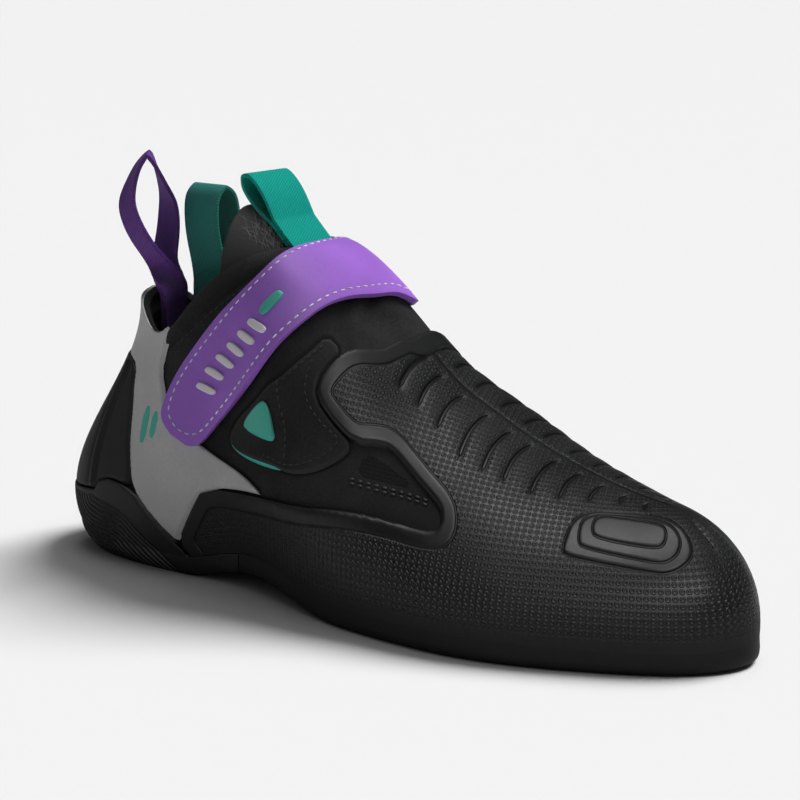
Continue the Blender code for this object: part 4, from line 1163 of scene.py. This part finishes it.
def cap_surface(place, up):
    value = cap_fields(place, up)
    depth = value["edge_mm"]
    height = edge_profile(depth, CAP_LAYER - RIM_ROUND, CAP_LAYER, CAP_EDGE_RADIUS)
    covered = soft_step(BORDER_WIDTH + 0.4, BORDER_WIDTH - 0.3, depth)
    height += BORDER_RISE * covered * soft_step(0.2, 0.9, depth)
    for name, _, rise, start, end in PAD_STEPS:
        height += rise * soft_step(start, end, value[name])
    inside = value["slit_in"]
    swell = -SLIT_SWELL * np.cos(2.0 * np.pi * value["slit_turn"]) * soft_step(-1.5, 2.0, inside)
    cut = SLIT_DEPTH * np.exp(-(slit_distance(value) / SLIT_WIDTH) ** 2) * soft_step(SLIT_FADE, 1.5, inside)
    cut = np.maximum(cut, SEAM_DEPTH * np.exp(-(value["seam_mm"] / SEAM_WIDTH) ** 2))
    height += (swell - cut) * (1.0 - covered)
    return skin(place, up, height)


# Grid along the cap: first row, last row and spacing in mm
CAP_RUNS = ((3.5, 7.4, 0.8), (7.4, 13.2, 0.55), (13.2, 14.0, 0.7))
cap_side, cap_front, cap_tip = (stations(*run) for run in CAP_RUNS)
cap_places = all_round(np.concatenate([cap_side[:-1], cap_front[:-1], cap_tip]))
cap_ups = np.concatenate([np.linspace(0.0, 0.4, 31)[:-1], np.linspace(0.4, 1.0, 81)])
cap_shape = wall_patch(cap_places, cap_ups, cap_depth)
# Rims are folded in above this height, in m
CAP_FOLD_FROM = (BACK_LIFT + 4.6) * MM
cap_mesh = shaped_mesh("moulded_toe_cap", cap_shape, cap_surface, cap_fields, SLIVER, CAP_LAYER - 0.3,
                       CAP_FOLD_FROM)
finish_piece("moulded_toe_cap", cap_mesh, MATERIAL["cap"], "toe_cap", ["toe_cap"])


# Overlays at the heel

def depth_in(view, outline, rounds=1):
    """Gives the function of the depth inside an outline, as a view shows it."""
    line = rounded(outline, rounds=rounds)

    def depth(place, up):
        return outline_depth(view(skin(place, up, OVERLAY_CUT_HEIGHT)), line)
    return depth


def overlay(name, span, levels, step, depth, layer, material, slot, nodes=(), seat=0.1, radius=0.9,
            relief=None, fields=None):
    """A layer on the upper inside an outline, with a rounded edge, cut from a grid over rows and levels."""
    first, last = span
    low, high = levels

    def surface(place, up):
        inside = depth(place, up)
        height = edge_profile(inside, max(seat, layer - RIM_ROUND), layer, radius)
        if relief is not None:
            height = height + relief(place, up, inside)
        return skin(place, up, height)

    tall = float(np.max(rising_length(np.linspace(first, last, 9), np.full(9, high))))
    ups = np.linspace(low, high, max(int(tall * (high - low) / high / step), 8) + 1)
    shape = wall_patch(stations(first, last, step), ups, depth)
    mesh = shaped_mesh(name, shape, surface, fields, SLIVER, layer - min(seat, layer - RIM_ROUND))
    finish_piece(name, mesh, material, slot, nodes)


overlay("grey_tension_band", (-5.8, 5.8), (0.0, 1.0), 0.9, depth_in(from_side, BAND_OUTLINE), BAND_LAYER,
        MATERIAL["band"], "tension_band", ["tension_band"])

# Ridge on the heel cover: height and width; groove beside it: depth, distance and width, in mm
COVER_RIDGE = (0.7, 0.9)
COVER_GROOVE = (0.35, 2.0, 0.7)


def counter_relief(place, up, inside):
    away = line_distance(from_side(wall_point(place, up)), rounded(COUNTER_RIDGE, closed=False))
    ridge_height, ridge_width = COVER_RIDGE
    groove_depth, groove_away, groove_width = COVER_GROOVE
    ridge = ridge_height * np.exp(-(away / ridge_width) ** 2)
    groove = groove_depth * np.exp(-((away - groove_away) / groove_width) ** 2)
    return (ridge - groove) * soft_step(0.3, 1.5, inside)


overlay("heel_cover", (-3.0, 3.0), (0.1, 0.9), 0.8, depth_in(from_side, COUNTER_OUTLINE), COUNTER_LAYER,
        MATERIAL["counter"], "heel_counter", ["heel_counter"], relief=counter_relief)

# Heel cup with its bottom, and the forefoot sole

# How far the heel's grid runs on below the feather edge, down the side of the plate
DOWN = 0.14
# Highest level of the heel's grid, and its spacing along in mm
HEEL_TOP = 0.42
HEEL_SPACING = 0.45
# Share of the plate's length from which its side turns into the side of the sole
FLUSH_FROM = 0.75
# How sharply the plate's side turns in toward the floor
HEEL_TURN = 2.2
# Width of the ribbed zone, and the groove along its border: distance outside and width, in mm
RIB_ZONE = 17.5
BORDER_GROOVE = (0.5, 0.6)
# Side of the forefoot sole: distance from the edge and height over the floor
SOLE_SIDE = ((SOLE_EDGE - 1.9, 0.0), (SOLE_EDGE - 0.95, 0.3), (SOLE_EDGE - 0.45, 0.9), (SOLE_EDGE - 0.2, 1.8),
             (SOLE_EDGE - 0.1, 3.2), (CAP_LAYER + 0.1, 4.6), (CAP_LAYER + 0.04, SOLE_THICK - 0.5),
             (CAP_LAYER + 0.01, BACK_LIFT), (CAP_LAYER - 0.05, BACK_LIFT + 0.3))


def sole_edge_point(place, distance, height):
    """Point beside the feather edge, at a distance outward and a height over the floor."""
    point = feather_edge(place)
    along = feather_edge(place + SMALL) - feather_edge(place - SMALL)
    outward = np.stack([along[..., 1], -along[..., 0]], -1)
    outward /= np.linalg.norm(outward, axis=-1)[..., None]
    point[..., :2] += outward * np.asarray(distance)[..., None]
    point[..., 2] = floor_height(place) + height
    return point


def heel_side_distance(place, down):
    """Distance of the heel plate's side from the edge; toward the front it becomes the side of the sole."""
    toward_front = np.abs(place) / HEEL_PLATE_END
    inset = HEEL_ROUND * (1.0 - toward_front) + EDGE_ROUND * toward_front
    distance = HEEL_LAYER + (SOLE_EDGE - HEEL_LAYER) * down - inset * down ** HEEL_TURN
    side, height = np.array(SOLE_SIDE).T
    flush = np.interp(BACK_LIFT * (1.0 - down), height, side)
    share = soft_step(FLUSH_FROM, 1.0, toward_front)
    return distance * (1.0 - share) + flush * share


def heel_side(place, down):
    """Side of the heel plate, from its top at 0 to the floor at 1."""
    return sole_edge_point(place, heel_side_distance(place, down), BACK_LIFT * (1.0 - down))


def heel_depth(place, up):
    depth = depth_in(from_side, HEEL_OUTLINE)(place, np.maximum(up, 0.0))
    return np.where(up < 0.0, np.maximum(depth, 0.3), depth)


def heel_smooth(place, up):
    inside = heel_depth(place, up)
    height = edge_profile(inside, HEEL_LAYER - RIM_ROUND, HEEL_LAYER, HEEL_EDGE_RADIUS)
    wall = skin(place, np.maximum(up, 0.0), height)
    side = heel_side(place, np.clip(-up / DOWN, 0.0, 1.0))
    return np.where((up < 0.0)[:, None], side, wall)


def heel_fields(place, up):
    spots = from_side(heel_smooth(place, up))
    border = rounded(HEEL_BORDER, closed=False)
    far = line_distance(spots, border)
    level = np.interp(spots[:, 0], border[:, 0], border[:, 1])
    below = np.where(spots[:, 1] < level, far, -far)
    ribbed = soft_step(0.0, 0.4, below) * soft_step(RIB_ZONE, RIB_ZONE - 1.5, below)
    return {"rib_mm": below, "ribbed": ribbed}


def heel_surface(place, up):
    value = heel_fields(place, up)
    ribs = np.sin(2.0 * np.pi * value["rib_mm"] / RIB_PITCH) * value["ribbed"]
    groove_away, groove_width = BORDER_GROOVE
    groove = np.exp(-((value["rib_mm"] + groove_away) / groove_width) ** 2)
    relief = RIB_HEIGHT * (ribs - 1.0) * value["ribbed"] - RIB_HEIGHT * groove
    return heel_smooth(place, up) + skin_normal(place, np.maximum(up, 0.0)) * relief[:, None]


heel_ups = np.concatenate([np.linspace(-DOWN, 0.0, 25)[:-1], np.linspace(0.0, HEEL_TOP, 85)])
heel_shape = wall_patch(stations(-HEEL_PLATE_END, HEEL_PLATE_END, HEEL_SPACING), heel_ups, heel_depth)
heel_mesh = shaped_mesh("moulded_heel_cup", heel_shape, heel_surface, heel_fields, SLIVER, HEEL_LAYER - 0.3,
                        CAP_FOLD_FROM)
finish_piece("moulded_heel_cup", heel_mesh, MATERIAL["heel"], "heel_rubber", ["heel_rubber"])


def bottom_sheet(name, first, last, distances, material, slot):
    """Flat underside between the outer and the inner edge."""
    def surface(along, across):
        place = first + (last - first) * along
        inset = distances(place)
        outer = sole_edge_point(place, inset, 0.0)
        inner = sole_edge_point(ROUND_TRIP - place, inset, 0.0)
        return inner * across[:, None] + outer * (1.0 - across)[:, None]

    mesh = grid_mesh(name, 90, 24, surface, (100.0, 80.0))
    mesh.flip_normals()
    finish_piece(name, mesh, material, slot)


bottom_sheet("heel_bottom", 0.0, HEEL_PLATE_END, lambda place: heel_side_distance(place, 1.0),
             MATERIAL["sole"], "heel_rubber")
bottom_sheet("forefoot_bottom", FOREFOOT_START, TOE_ROW, lambda place: SOLE_SIDE[0][0],
             MATERIAL["sole"], "outsole")


def sole_side_surface(along, share):
    place = FOREFOOT_START + (ROUND_TRIP - 2.0 * FOREFOOT_START) * along
    distance, height = columns_at(share, SOLE_SIDE)
    return sole_edge_point(place, distance, height)


sole_mesh = grid_mesh("forefoot_sole", 320, 2 * (len(SOLE_SIDE) - 1), sole_side_surface, (420.0, 20.0))
finish_piece("forefoot_sole", sole_mesh, MATERIAL["sole"], "outsole", ["outsole"])

# Side flap, its lining and its badge

LINING_LAYER = 0.9
# The flap's lift off the upper at its rear end, and where it starts and is full, in mm
FLAP_LIFT = 0.7
FLAP_LIFT_START = 84.0
FLAP_LIFT_FULL = 62.0

overlay("flap_lining", (4.4, 6.6), (0.25, 0.6), 0.5, depth_in(seen, LINING_OUTLINE, 2), LINING_LAYER,
        MATERIAL["lining"], "flap_badge", radius=0.5)

flap_depth = depth_in(seen, FLAP_OUTLINE)


def flap_lift(place, up, inside):
    """The flap stands a little off the upper at its rear end, all across it."""
    spots = seen(wall_point(place, up))
    return FLAP_LIFT * soft_step(FLAP_LIFT_START, FLAP_LIFT_FULL, spots[:, 0])


def flap_fields(place, up):
    return {"edge_mm": flap_depth(place, up)}


overlay("outer_flap", (4.3, 7.7), (0.25, 0.8), 0.6, flap_depth, FLAP_LAYER, MATERIAL["flap"], "side_flap",
        ["side_flap"], seat=0.6, radius=0.7, relief=flap_lift, fields=flap_fields)
overlay("flap_badge_plate", (5.0, 6.3), (0.3, 0.6), 0.25, depth_in(seen, BADGE_OUTLINE, 2), BADGE_LAYER,
        MATERIAL["badge"], "flap_badge", ["flap_badge"], seat=1.9, radius=1.0)

# Strap over the instep

STRAP_LENGTH = 140.0
STRAP_WIDTH = 25.0
AXES = ("x", "y", "z")
# A point inside the shoe, which outward directions lead away from
SHOE_MIDDLE = np.array([85.0, 6.0, 45.0])


def strap_spot(place, up):
    """Point and outward direction up the outer wall, over the ridge in an arch and down the inner wall."""
    mirror = ROUND_TRIP - place
    spring = 1.0 - STRAP_ARCH
    low_up = np.minimum(up, spring)
    high_up = np.minimum(2.0 - up, spring)
    outer, outer_normal = wall_point(place, low_up), wall_normal(place, low_up)
    inner, inner_normal = wall_point(mirror, high_up), wall_normal(mirror, high_up)
    first = wall_point(place, spring)
    last = wall_point(mirror, spring)
    leave = (first - wall_point(place, spring - SMALL)) * 2.0 * STRAP_ARCH / SMALL
    land = (wall_point(mirror, spring - SMALL) - last) * 2.0 * STRAP_ARCH / SMALL
    share = np.clip((up - spring) / (2.0 * STRAP_ARCH), 0.0, 1.0)[:, None]
    rest = 1.0 - share
    arch = first * rest ** 2 * (1.0 + 2.0 * share) + last * share ** 2 * (1.0 + 2.0 * rest)
    arch += leave * rest ** 2 * share - land * share ** 2 * rest
    arch_normal = wall_normal(place, spring) * rest + wall_normal(mirror, spring) * share
    arch_normal /= np.linalg.norm(arch_normal, axis=-1)[:, None]
    below = (up < spring)[:, None]
    beyond = (up > 2.0 - spring)[:, None]
    point = np.where(below, outer, np.where(beyond, inner, arch))
    normal = np.where(below, outer_normal, np.where(beyond, inner_normal, arch_normal))
    return point, normal


def strap_rail(share):
    """Smooth line along the strap's top at a share of its width."""
    rear_row, rear_up, front_row, front_up, stand = np.array(STRAP_ROWS).T
    rest = 1.0 - share
    point, normal = strap_spot(rear_row * rest + front_row * share, rear_up * rest + front_up * share)
    return table_curves(AXES, point + normal * (stand + STRAP_THICK)[:, None])


STRAP_RAILS = [strap_rail(share) for share in (0.0, 0.5, 1.0)]


def strap_row(along):
    """Row number at a share of the strap's length."""
    rows = np.linspace(0.0, len(STRAP_ROWS) - 1.0, 341)
    middle = np.stack([STRAP_RAILS[1][axis](rows) for axis in AXES], -1)
    length = path_length(middle)
    return np.interp(along, length / length[-1], rows)


def strap_surface(along, across):
    """Top of the strap, bowed across through its three rails."""
    row = strap_row(np.asarray(along, float))
    rear, middle, front = (np.stack([rail[axis](row) for axis in AXES], -1) for rail in STRAP_RAILS)
    share = np.asarray(across, float)[:, None]
    bow = middle - (rear + front) / 2.0
    return rear * (1.0 - share) + front * share + 4.0 * share * (1.0 - share) * bow


strap_mesh = grid_mesh("instep_strap", 170, 24, strap_surface, (STRAP_LENGTH, STRAP_WIDTH))
strap_mesh.flip_normals()
strap = finish_piece("instep_strap", strap_mesh, MATERIAL["strap"], "strap", ["strap"])
thicken(strap, STRAP_THICK - 0.1, round_width=0.7)

# Tongue inside the throat

tongue_curves = table_curves(TONGUE_COLUMNS, TONGUE_ROWS)
# Half of the tongue's arch, in degrees
TONGUE_SWEEP = 84.0


def tongue_surface(along, across):
    arch = {name: curve(along * (len(TONGUE_ROWS) - 1)) for name, curve in tongue_curves.items()}
    angle = np.radians(TONGUE_SWEEP * (2.0 * across - 1.0))
    return np.stack([arch["along"], arch["middle"] + arch["half"] * np.sin(angle),
                     arch["side"] + (arch["crown"] - arch["side"]) * np.cos(angle)], -1)


tongue_mesh = grid_mesh("smooth_tongue", 60, 40, tongue_surface, (56.0, 50.0))
tongue = finish_piece("smooth_tongue", tongue_mesh, MATERIAL["tongue"], "tongue", ["tongue"])
thicken(tongue, TONGUE_THICK, round_width=0.8)


# Webbing pull loops

def loop_piece(node, rows, width, foot, upward, across):
    """Flat webbing folded into a loop that turns on its way up, its two ends sewn together at the foot."""
    foot = np.array(foot)
    upward = np.array(upward) / np.linalg.norm(upward)
    across = np.array(across) / np.linalg.norm(across)
    sideways = np.cross(upward, across)
    curves = table_curves(LOOP_COLUMNS, rows)
    last = len(rows) - 1
    number = np.linspace(0.0, last, 80)
    half = np.maximum(curves["half"](number), 0.5 * WEBBING_THICK * soft_step(last, last - 0.3, number))
    there_and_back = np.concatenate([number, number[::-1][1:]])
    opening = np.concatenate([-half, half[::-1][1:]])

    def strand(at_number, at_opening, side):
        angle = np.radians(curves["turn"](at_number))[:, None]
        turned_across = across * np.cos(angle) + sideways * np.sin(angle)
        turned_side = sideways * np.cos(angle) - across * np.sin(angle)
        lean = across * curves["lean"](at_number)[:, None]
        rise = upward * curves["height"](at_number)[:, None]
        return foot + lean + rise + turned_across * at_opening[:, None] + turned_side * side[:, None]

    middle = strand(there_and_back, opening, np.zeros(len(opening)))
    length = path_length(middle)
    step = np.arange(len(opening))

    def surface(along, share):
        at = np.interp(along * length[-1], length, step)
        at_number = np.interp(at, step, there_and_back)
        at_opening = np.interp(at, step, opening)
        return strand(at_number, at_opening, width * (share - 0.5))

    mesh = grid_mesh(node + "_webbing", 110, 10, surface, (length[-1], width))
    piece = finish_piece(node + "_webbing", mesh, MATERIAL[node], node, [node])
    thicken(piece, WEBBING_THICK - 0.1, round_width=0.3, offset=0.0)


for loop in LOOPS:
    loop_piece(*loop)


# Stitches: small rounded threads joined into one mesh for each kind

# Length of a stitch, gap to the next, width and rise in mm
STRAP_THREAD = (1.95, 0.95, 0.55, 0.28)
DARK_THREAD_SIZE = (1.7, 0.8, 0.5, 0.22)
WINDOW_THREAD = (2.3, 0.35, 0.95, 0.42)


def thread_mesh(name, lines, dash, gap, width, rise):
    """Stitches along lines of points in mm, each with its outward directions."""
    shape = bmesh.new()
    for points, normals in lines:
        length = path_length(points)
        for start in np.arange(0.5 * gap, length[-1] - dash, dash + gap):
            ats = np.array([start, start + 0.5 * dash, start + dash])
            rear, middle, front = np.stack([np.interp(ats, length, points[:, axis]) for axis in range(3)], -1)
            outward = np.array([np.interp(ats[1], length, normals[:, axis]) for axis in range(3)])
            along = (front - rear) / np.linalg.norm(front - rear)
            side = np.cross(outward, along)
            side /= np.linalg.norm(side)
            axes = np.stack([along * dash / 2.0, side * width / 2.0, np.cross(along, side) * rise], -1) * MM
            seat = Matrix(axes.tolist()).to_4x4()
            seat.translation = row_frame(middle)
            bmesh.ops.create_uvsphere(shape, u_segments=6, v_segments=5, radius=1.0, matrix=seat)
    bmesh.ops.recalc_face_normals(shape, faces=shape.faces)
    return mesh_of(shape, name)


def stitch_piece(name, lines, thread, material, slot):
    finish_piece(name, thread_mesh(name, lines, *thread), material, slot)


def strap_frame(along, across):
    """Points on the strap's top and their outward directions."""
    point = strap_surface(along, across)
    ahead = strap_surface(np.minimum(along + SMALL, 1.0), across)
    run = ahead - strap_surface(np.maximum(along - SMALL, 0.0), across)
    side = strap_surface(along, across + SMALL) - strap_surface(along, across - SMALL)
    normal = np.cross(run, side)
    normal /= np.linalg.norm(normal, axis=-1)[:, None]
    outward = np.sign(np.sum(normal * (point - SHOE_MIDDLE), axis=-1))
    return point, normal * outward[:, None]


# The strap's stitch line: mm along it and share across it
STRAP_STITCHES = ((139.0, 0.090), (110.0, 0.085), (80.0, 0.085), (50.0, 0.090), (25.0, 0.095), (12.0, 0.105),
                  (6.5, 0.150), (4.0, 0.280), (3.2, 0.500), (4.0, 0.720), (6.5, 0.850), (12.0, 0.895),
                  (25.0, 0.905), (50.0, 0.910), (80.0, 0.915), (110.0, 0.915), (139.0, 0.910))
stitch_curves = table_curves(("along", "across"), STRAP_STITCHES)
stitch_rows = np.linspace(0.0, len(STRAP_STITCHES) - 1.0, 600)
stitch_along = stitch_curves["along"](stitch_rows) / STRAP_LENGTH
strap_line = strap_frame(stitch_along, stitch_curves["across"](stitch_rows))
stitch_piece("strap_stitches", [strap_line], STRAP_THREAD, MATERIAL["pale_thread"], "strap")

# Plain raised bars and a plain pill on the strap: mm along it, share across it, half sizes in mm and turn in
# degrees
GRIP_BARS = tuple((along, across, 1.35, 3.9, 16.0) for along, across in
                  ((20.5, 0.55), (26.5, 0.51), (32.5, 0.52), (38.5, 0.54), (44.5, 0.57), (50.0, 0.60)))
PILLS = ((58.0, 0.52, 4.6, 1.7, 0.0),)
# From the foot of a plate to its middle: share of its half size, height over the strap in mm
PLATE_PROFILE = ((1.0, -0.4), (1.0, 0.25), (0.97, 0.62), (0.88, 0.78), (0.5, 0.80), (0.0, 0.80))
# How square a plate's corners are, 2 for an ellipse
PLATE_CORNER = 3.2


def plate_surface(turn_share, step_share, plate):
    """Plate with rounded corners: round it by the first share, from its foot to its middle by the second."""
    along, across, half_along, half_across, turn = plate
    angle = 2.0 * np.pi * turn_share
    wide = half_along * np.sign(np.cos(angle)) * np.abs(np.cos(angle)) ** (2.0 / PLATE_CORNER)
    tall = half_across * np.sign(np.sin(angle)) * np.abs(np.sin(angle)) ** (2.0 / PLATE_CORNER)
    size, rise = columns_at(step_share, PLATE_PROFILE)
    slant = math.tan(math.radians(turn))
    point, normal = strap_frame((along + size * (wide + slant * tall)) / STRAP_LENGTH,
                                across + size * tall / STRAP_WIDTH)
    return point + normal * rise[:, None]


def strap_plates(name, plates, material):
    shape = bmesh.new()
    for plate in plates:
        made = bmesh.ops.create_grid(shape, x_segments=40, y_segments=10, size=0.5)["verts"]
        shares = np.array([vert.co[:2] for vert in made]) + 0.5
        for vert, point in zip(made, row_frame(plate_surface(shares[:, 0], shares[:, 1], plate))):
            vert.co = point
    bmesh.ops.remove_doubles(shape, verts=shape.verts, dist=SAME_SPOT)
    bmesh.ops.recalc_face_normals(shape, faces=shape.faces)
    finish_piece(name, mesh_of(shape, name), material, "strap")


strap_plates("strap_grip_bars", GRIP_BARS, MATERIAL["pale_rubber"])
strap_plates("strap_pill", PILLS, MATERIAL["badge"])


# Dark stitches on the flap, beside the side window and under the collar

def find_on_wall(view, targets, first, last, low, high):
    """Places on the wall that a view shows at the points given."""
    place, up = np.meshgrid(np.linspace(first, last, 161), np.linspace(low, high, 101), indexing="ij")
    place, up = place.ravel(), up.ravel()
    shown = view(wall_point(place, up))
    nearest = [np.argmin(np.sum((shown - target) ** 2, axis=-1)) for target in targets]
    place, up = place[nearest], up[nearest]
    for _ in range(3):
        here = view(wall_point(place, up))
        by_place = (view(wall_point(place + SMALL, up)) - here) / SMALL
        by_up = (view(wall_point(place, up + SMALL)) - here) / SMALL
        miss = targets - here
        area = by_place[:, 0] * by_up[:, 1] - by_place[:, 1] * by_up[:, 0]
        place = place + (miss[:, 0] * by_up[:, 1] - miss[:, 1] * by_up[:, 0]) / area
        up = up + (by_place[:, 0] * miss[:, 1] - by_place[:, 1] * miss[:, 0]) / area
    return place, up


def seen_line(corners, height):
    """Line of points on the outer wall through corners seen along the line of sight."""
    corners = np.asarray(corners, float)
    curves = table_curves(("along", "up"), corners)
    rows = np.linspace(0.0, len(corners) - 1.0, 12 * len(corners))
    targets = np.stack([curves["along"](rows), curves["up"](rows)], -1)
    place, up = find_on_wall(seen, targets, 4.0, 9.0, 0.1, 0.9)
    return skin(place, up, height), skin_normal(place, up)


FLAP_SEAM = ((80.1, 61.5), (81.6, 53.4), (83.5, 46.6), (83.4, 37.3))
FLAP_EDGE_STITCH = ((93.0, 69.4), (91.0, 63.6), (91.2, 56.4), (98.0, 49.0), (102.6, 45.4), (98.0, 40.6),
                    (90.6, 37.0), (84.0, 35.6), (78.0, 37.0), (70.0, 38.6))
FLAP_TOP_STITCH = ((81.8, 60.8), (86.6, 65.2), (93.2, 70.9), (98.2, 75.0))
WINDOW_STITCH = ((105.9, 33.4), (117.4, 32.5), (128.4, 31.7), (135.4, 30.7))
WINDOW_STITCH_GAP = 1.35
WINDOW_STITCH_HEIGHT = 0.15
# The collar's stitches: rows they run between, points on the line and distance under the strip's seam in mm
COLLAR_STITCH_ROWS = (2.6, 5.7)
COLLAR_STITCH_POINTS = 200
COLLAR_STITCH_GAP = 1.4
dark_lines = [seen_line(line, FLAP_LAYER + 0.1) for line in (FLAP_SEAM, FLAP_EDGE_STITCH, FLAP_TOP_STITCH)]
window_lines = []
for shift in (0.0, WINDOW_STITCH_GAP):
    shifted = [(along, up + shift) for along, up in WINDOW_STITCH]
    window_lines.append(seen_line(shifted, WINDOW_STITCH_HEIGHT))
collar_places = np.linspace(*COLLAR_STITCH_ROWS, COLLAR_STITCH_POINTS)
collar_ups = 1.0 - (COLLAR_SEAM + COLLAR_STITCH_GAP) / rising_length(collar_places, 1.0)
dark_lines.append((skin(collar_places, collar_ups, 0.0), skin_normal(collar_places, collar_ups)))
stitch_piece("dark_stitches", dark_lines, DARK_THREAD_SIZE, MATERIAL["dark_thread"], "upper")
stitch_piece("window_stitches", window_lines, WINDOW_THREAD, MATERIAL["dark_thread"], "upper")

# Two plain slanted bars on the grey band, seen along the line of sight, and their height over it in mm
BAND_MARKS = (
    ((24.4, 33.2), (27.0, 33.2), (30.0, 45.6), (27.4, 45.6)),
    ((28.6, 35.4), (31.0, 35.4), (33.2, 44.4), (30.8, 44.4)),
)
BAND_MARK_RISE = 0.22
for number, outline in enumerate(BAND_MARKS):
    overlay("band_mark_" + str(number), (2.0, 4.6), (0.2, 0.75), 0.3, depth_in(seen, outline),
            BAND_LAYER + BAND_MARK_RISE, MATERIAL["lining"], "tension_band", seat=BAND_LAYER - 0.2,
            radius=0.3)

# Loose fibres on the tongue: the part of it they lie on, as shares along and across it, and sizes in mm
FIBRE_COUNT = 220
FIBRE_AREA = ((0.14, 0.52), (0.24, 0.56))
FIBRE_LENGTH = (3.0, 8.5)
FIBRE_LIFT = (0.3, 1.8)
FIBRE_WIDTH = 0.16
FIBRE_SEAT = 0.1
FIBRE_STEPS = 5
# Mean and spread of a fibre's heading in radians and of its sideways bend
FIBRE_HEADING = (0.6, 0.5)
FIBRE_BEND = (0.0, 0.35)
# How much narrower a fibre's end is, and how far its lift goes through an arch in radians
FIBRE_TAPER = 0.7
FIBRE_ARCH = 2.6
FIBRE_SEED = 11
# Step along and across the tongue over which its directions are taken
TONGUE_STEP = 0.02


def tongue_directions(along, across):
    """A point on the tongue with the directions along it, across it and out of it."""
    alongs = np.array([along, along + TONGUE_STEP, along])
    base, ahead, beside = tongue_surface(alongs, np.array([across, across, across + TONGUE_STEP]))
    run = (ahead - base) / np.linalg.norm(ahead - base)
    side = (beside - base) / np.linalg.norm(beside - base)
    outward = np.cross(side, run)
    return base, run, side, outward * np.sign(outward[2])


def add_fibre(shape, chance):
    """One fibre, a narrow bent strip, at a place and heading drawn by chance."""
    along, across = (chance.uniform(*span) for span in FIBRE_AREA)
    base, run, side, outward = tongue_directions(along, across)
    angle = chance.normal(*FIBRE_HEADING)
    heading = -run * math.cos(angle) + side * math.sin(angle)
    sideways = np.cross(outward, heading)
    bend = sideways * chance.normal(*FIBRE_BEND)
    length = chance.uniform(*FIBRE_LENGTH)
    lift = chance.uniform(*FIBRE_LIFT)
    made = bmesh.ops.create_grid(shape, x_segments=1, y_segments=FIBRE_STEPS, size=0.5)["verts"]
    for vert in made:
        share = vert.co.y + 0.5
        rise = outward * (FIBRE_SEAT + lift * math.sin(FIBRE_ARCH * share))
        spot = base + heading * length * share + bend * length * share ** 2 + rise
        vert.co = row_frame(spot + sideways * FIBRE_WIDTH * vert.co.x * (1.0 - FIBRE_TAPER * share))


fibre_shape = bmesh.new()
fibre_chance = np.random.default_rng(FIBRE_SEED)
for _ in range(FIBRE_COUNT):
    add_fibre(fibre_shape, fibre_chance)
finish_piece("tongue_fibres", mesh_of(fibre_shape, "tongue_fibres"), MATERIAL["fibre"], "tongue")

# The insole keeps its CAD mesh
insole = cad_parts["insole"]
insole.data.materials.clear()
insole.data.materials.append(MATERIAL["insole"])

# Floor, light and camera

FLOOR_SIZE = 12.0
floor_shape = bmesh.new()
bmesh.ops.create_grid(floor_shape, x_segments=4, y_segments=4, size=FLOOR_SIZE / 2.0)
floor_mesh = mesh_of(floor_shape, "studio_floor")
floor = bpy.data.objects.new("studio_floor", floor_mesh)
bpy.context.scene.collection.objects.link(floor)
floor_material, _, floor_shader = start_material("pale_floor", 0.9, 0.1)
floor_shader.inputs["Base Color"].default_value = (*FLOOR_WHITE, 1.0)
floor_mesh.materials.append(floor_material)

WORLD_LIGHT = 0.06
world = bpy.data.worlds.new("studio")
world.use_nodes = True
world.node_tree.nodes["Background"].inputs["Color"].default_value = (1.0, 1.0, 1.0, 1.0)
world.node_tree.nodes["Background"].inputs["Strength"].default_value = WORLD_LIGHT
bpy.context.scene.world = world
bpy.context.scene.view_settings.view_transform = "Standard"

# Even lamps: name, direction it comes from, strength, spread in degrees, whether it lights and whether it
# shows as sheen
LAMPS = (
    ("rear_lamp", (0.25, 0.50, 0.82), 3.62, 30.0, True, False),
    ("top_lamp", (0.10, 0.36, 1.0), 0.65, 60.0, True, False),
    ("overhead_sheen", (-0.10, 0.0, 1.0), 2.50, 32.0, False, True),
    ("front_sheen", (0.45, -0.55, 0.70), 2.40, 30.0, False, True),
)
for name, comes_from, strength, spread, lights, sheen in LAMPS:
    light = bpy.data.lights.new(name, "SUN")
    light.energy = strength
    light.angle = math.radians(spread)
    lamp = bpy.data.objects.new(name, light)
    lamp.location = comes_from
    lamp.rotation_mode = "QUATERNION"
    lamp.rotation_quaternion = Vector(comes_from).to_track_quat("Z", "Y")
    lamp.visible_diffuse = lights
    lamp.visible_glossy = sheen
    bpy.context.scene.collection.objects.link(lamp)

CAMERA_AZIMUTH = math.radians(35.0)
CAMERA_ELEVATION = math.radians(14.0)
CAMERA_DISTANCE = 0.9
CAMERA_TARGET = Vector(row_frame((115.0, 13.6, 57.1)))
SENSOR_WIDTH = 36.0
# Focal length as a share of the picture's width
FOCAL_SHARE = 2904.0 / 800.0
back = Vector((math.sin(CAMERA_AZIMUTH) * math.cos(CAMERA_ELEVATION),
               -math.cos(CAMERA_AZIMUTH) * math.cos(CAMERA_ELEVATION), math.sin(CAMERA_ELEVATION)))
lens = bpy.data.cameras.new("photo_view")
lens.sensor_width = SENSOR_WIDTH
lens.lens = SENSOR_WIDTH * FOCAL_SHARE
lens.clip_start = 0.01
lens.clip_end = 50.0
camera = bpy.data.objects.new("photo_view", lens)
camera.location = CAMERA_TARGET + back * CAMERA_DISTANCE
camera.rotation_mode = "QUATERNION"
camera.rotation_quaternion = (-back).to_track_quat("-Z", "Y")
bpy.context.scene.collection.objects.link(camera)
bpy.context.scene.camera = camera
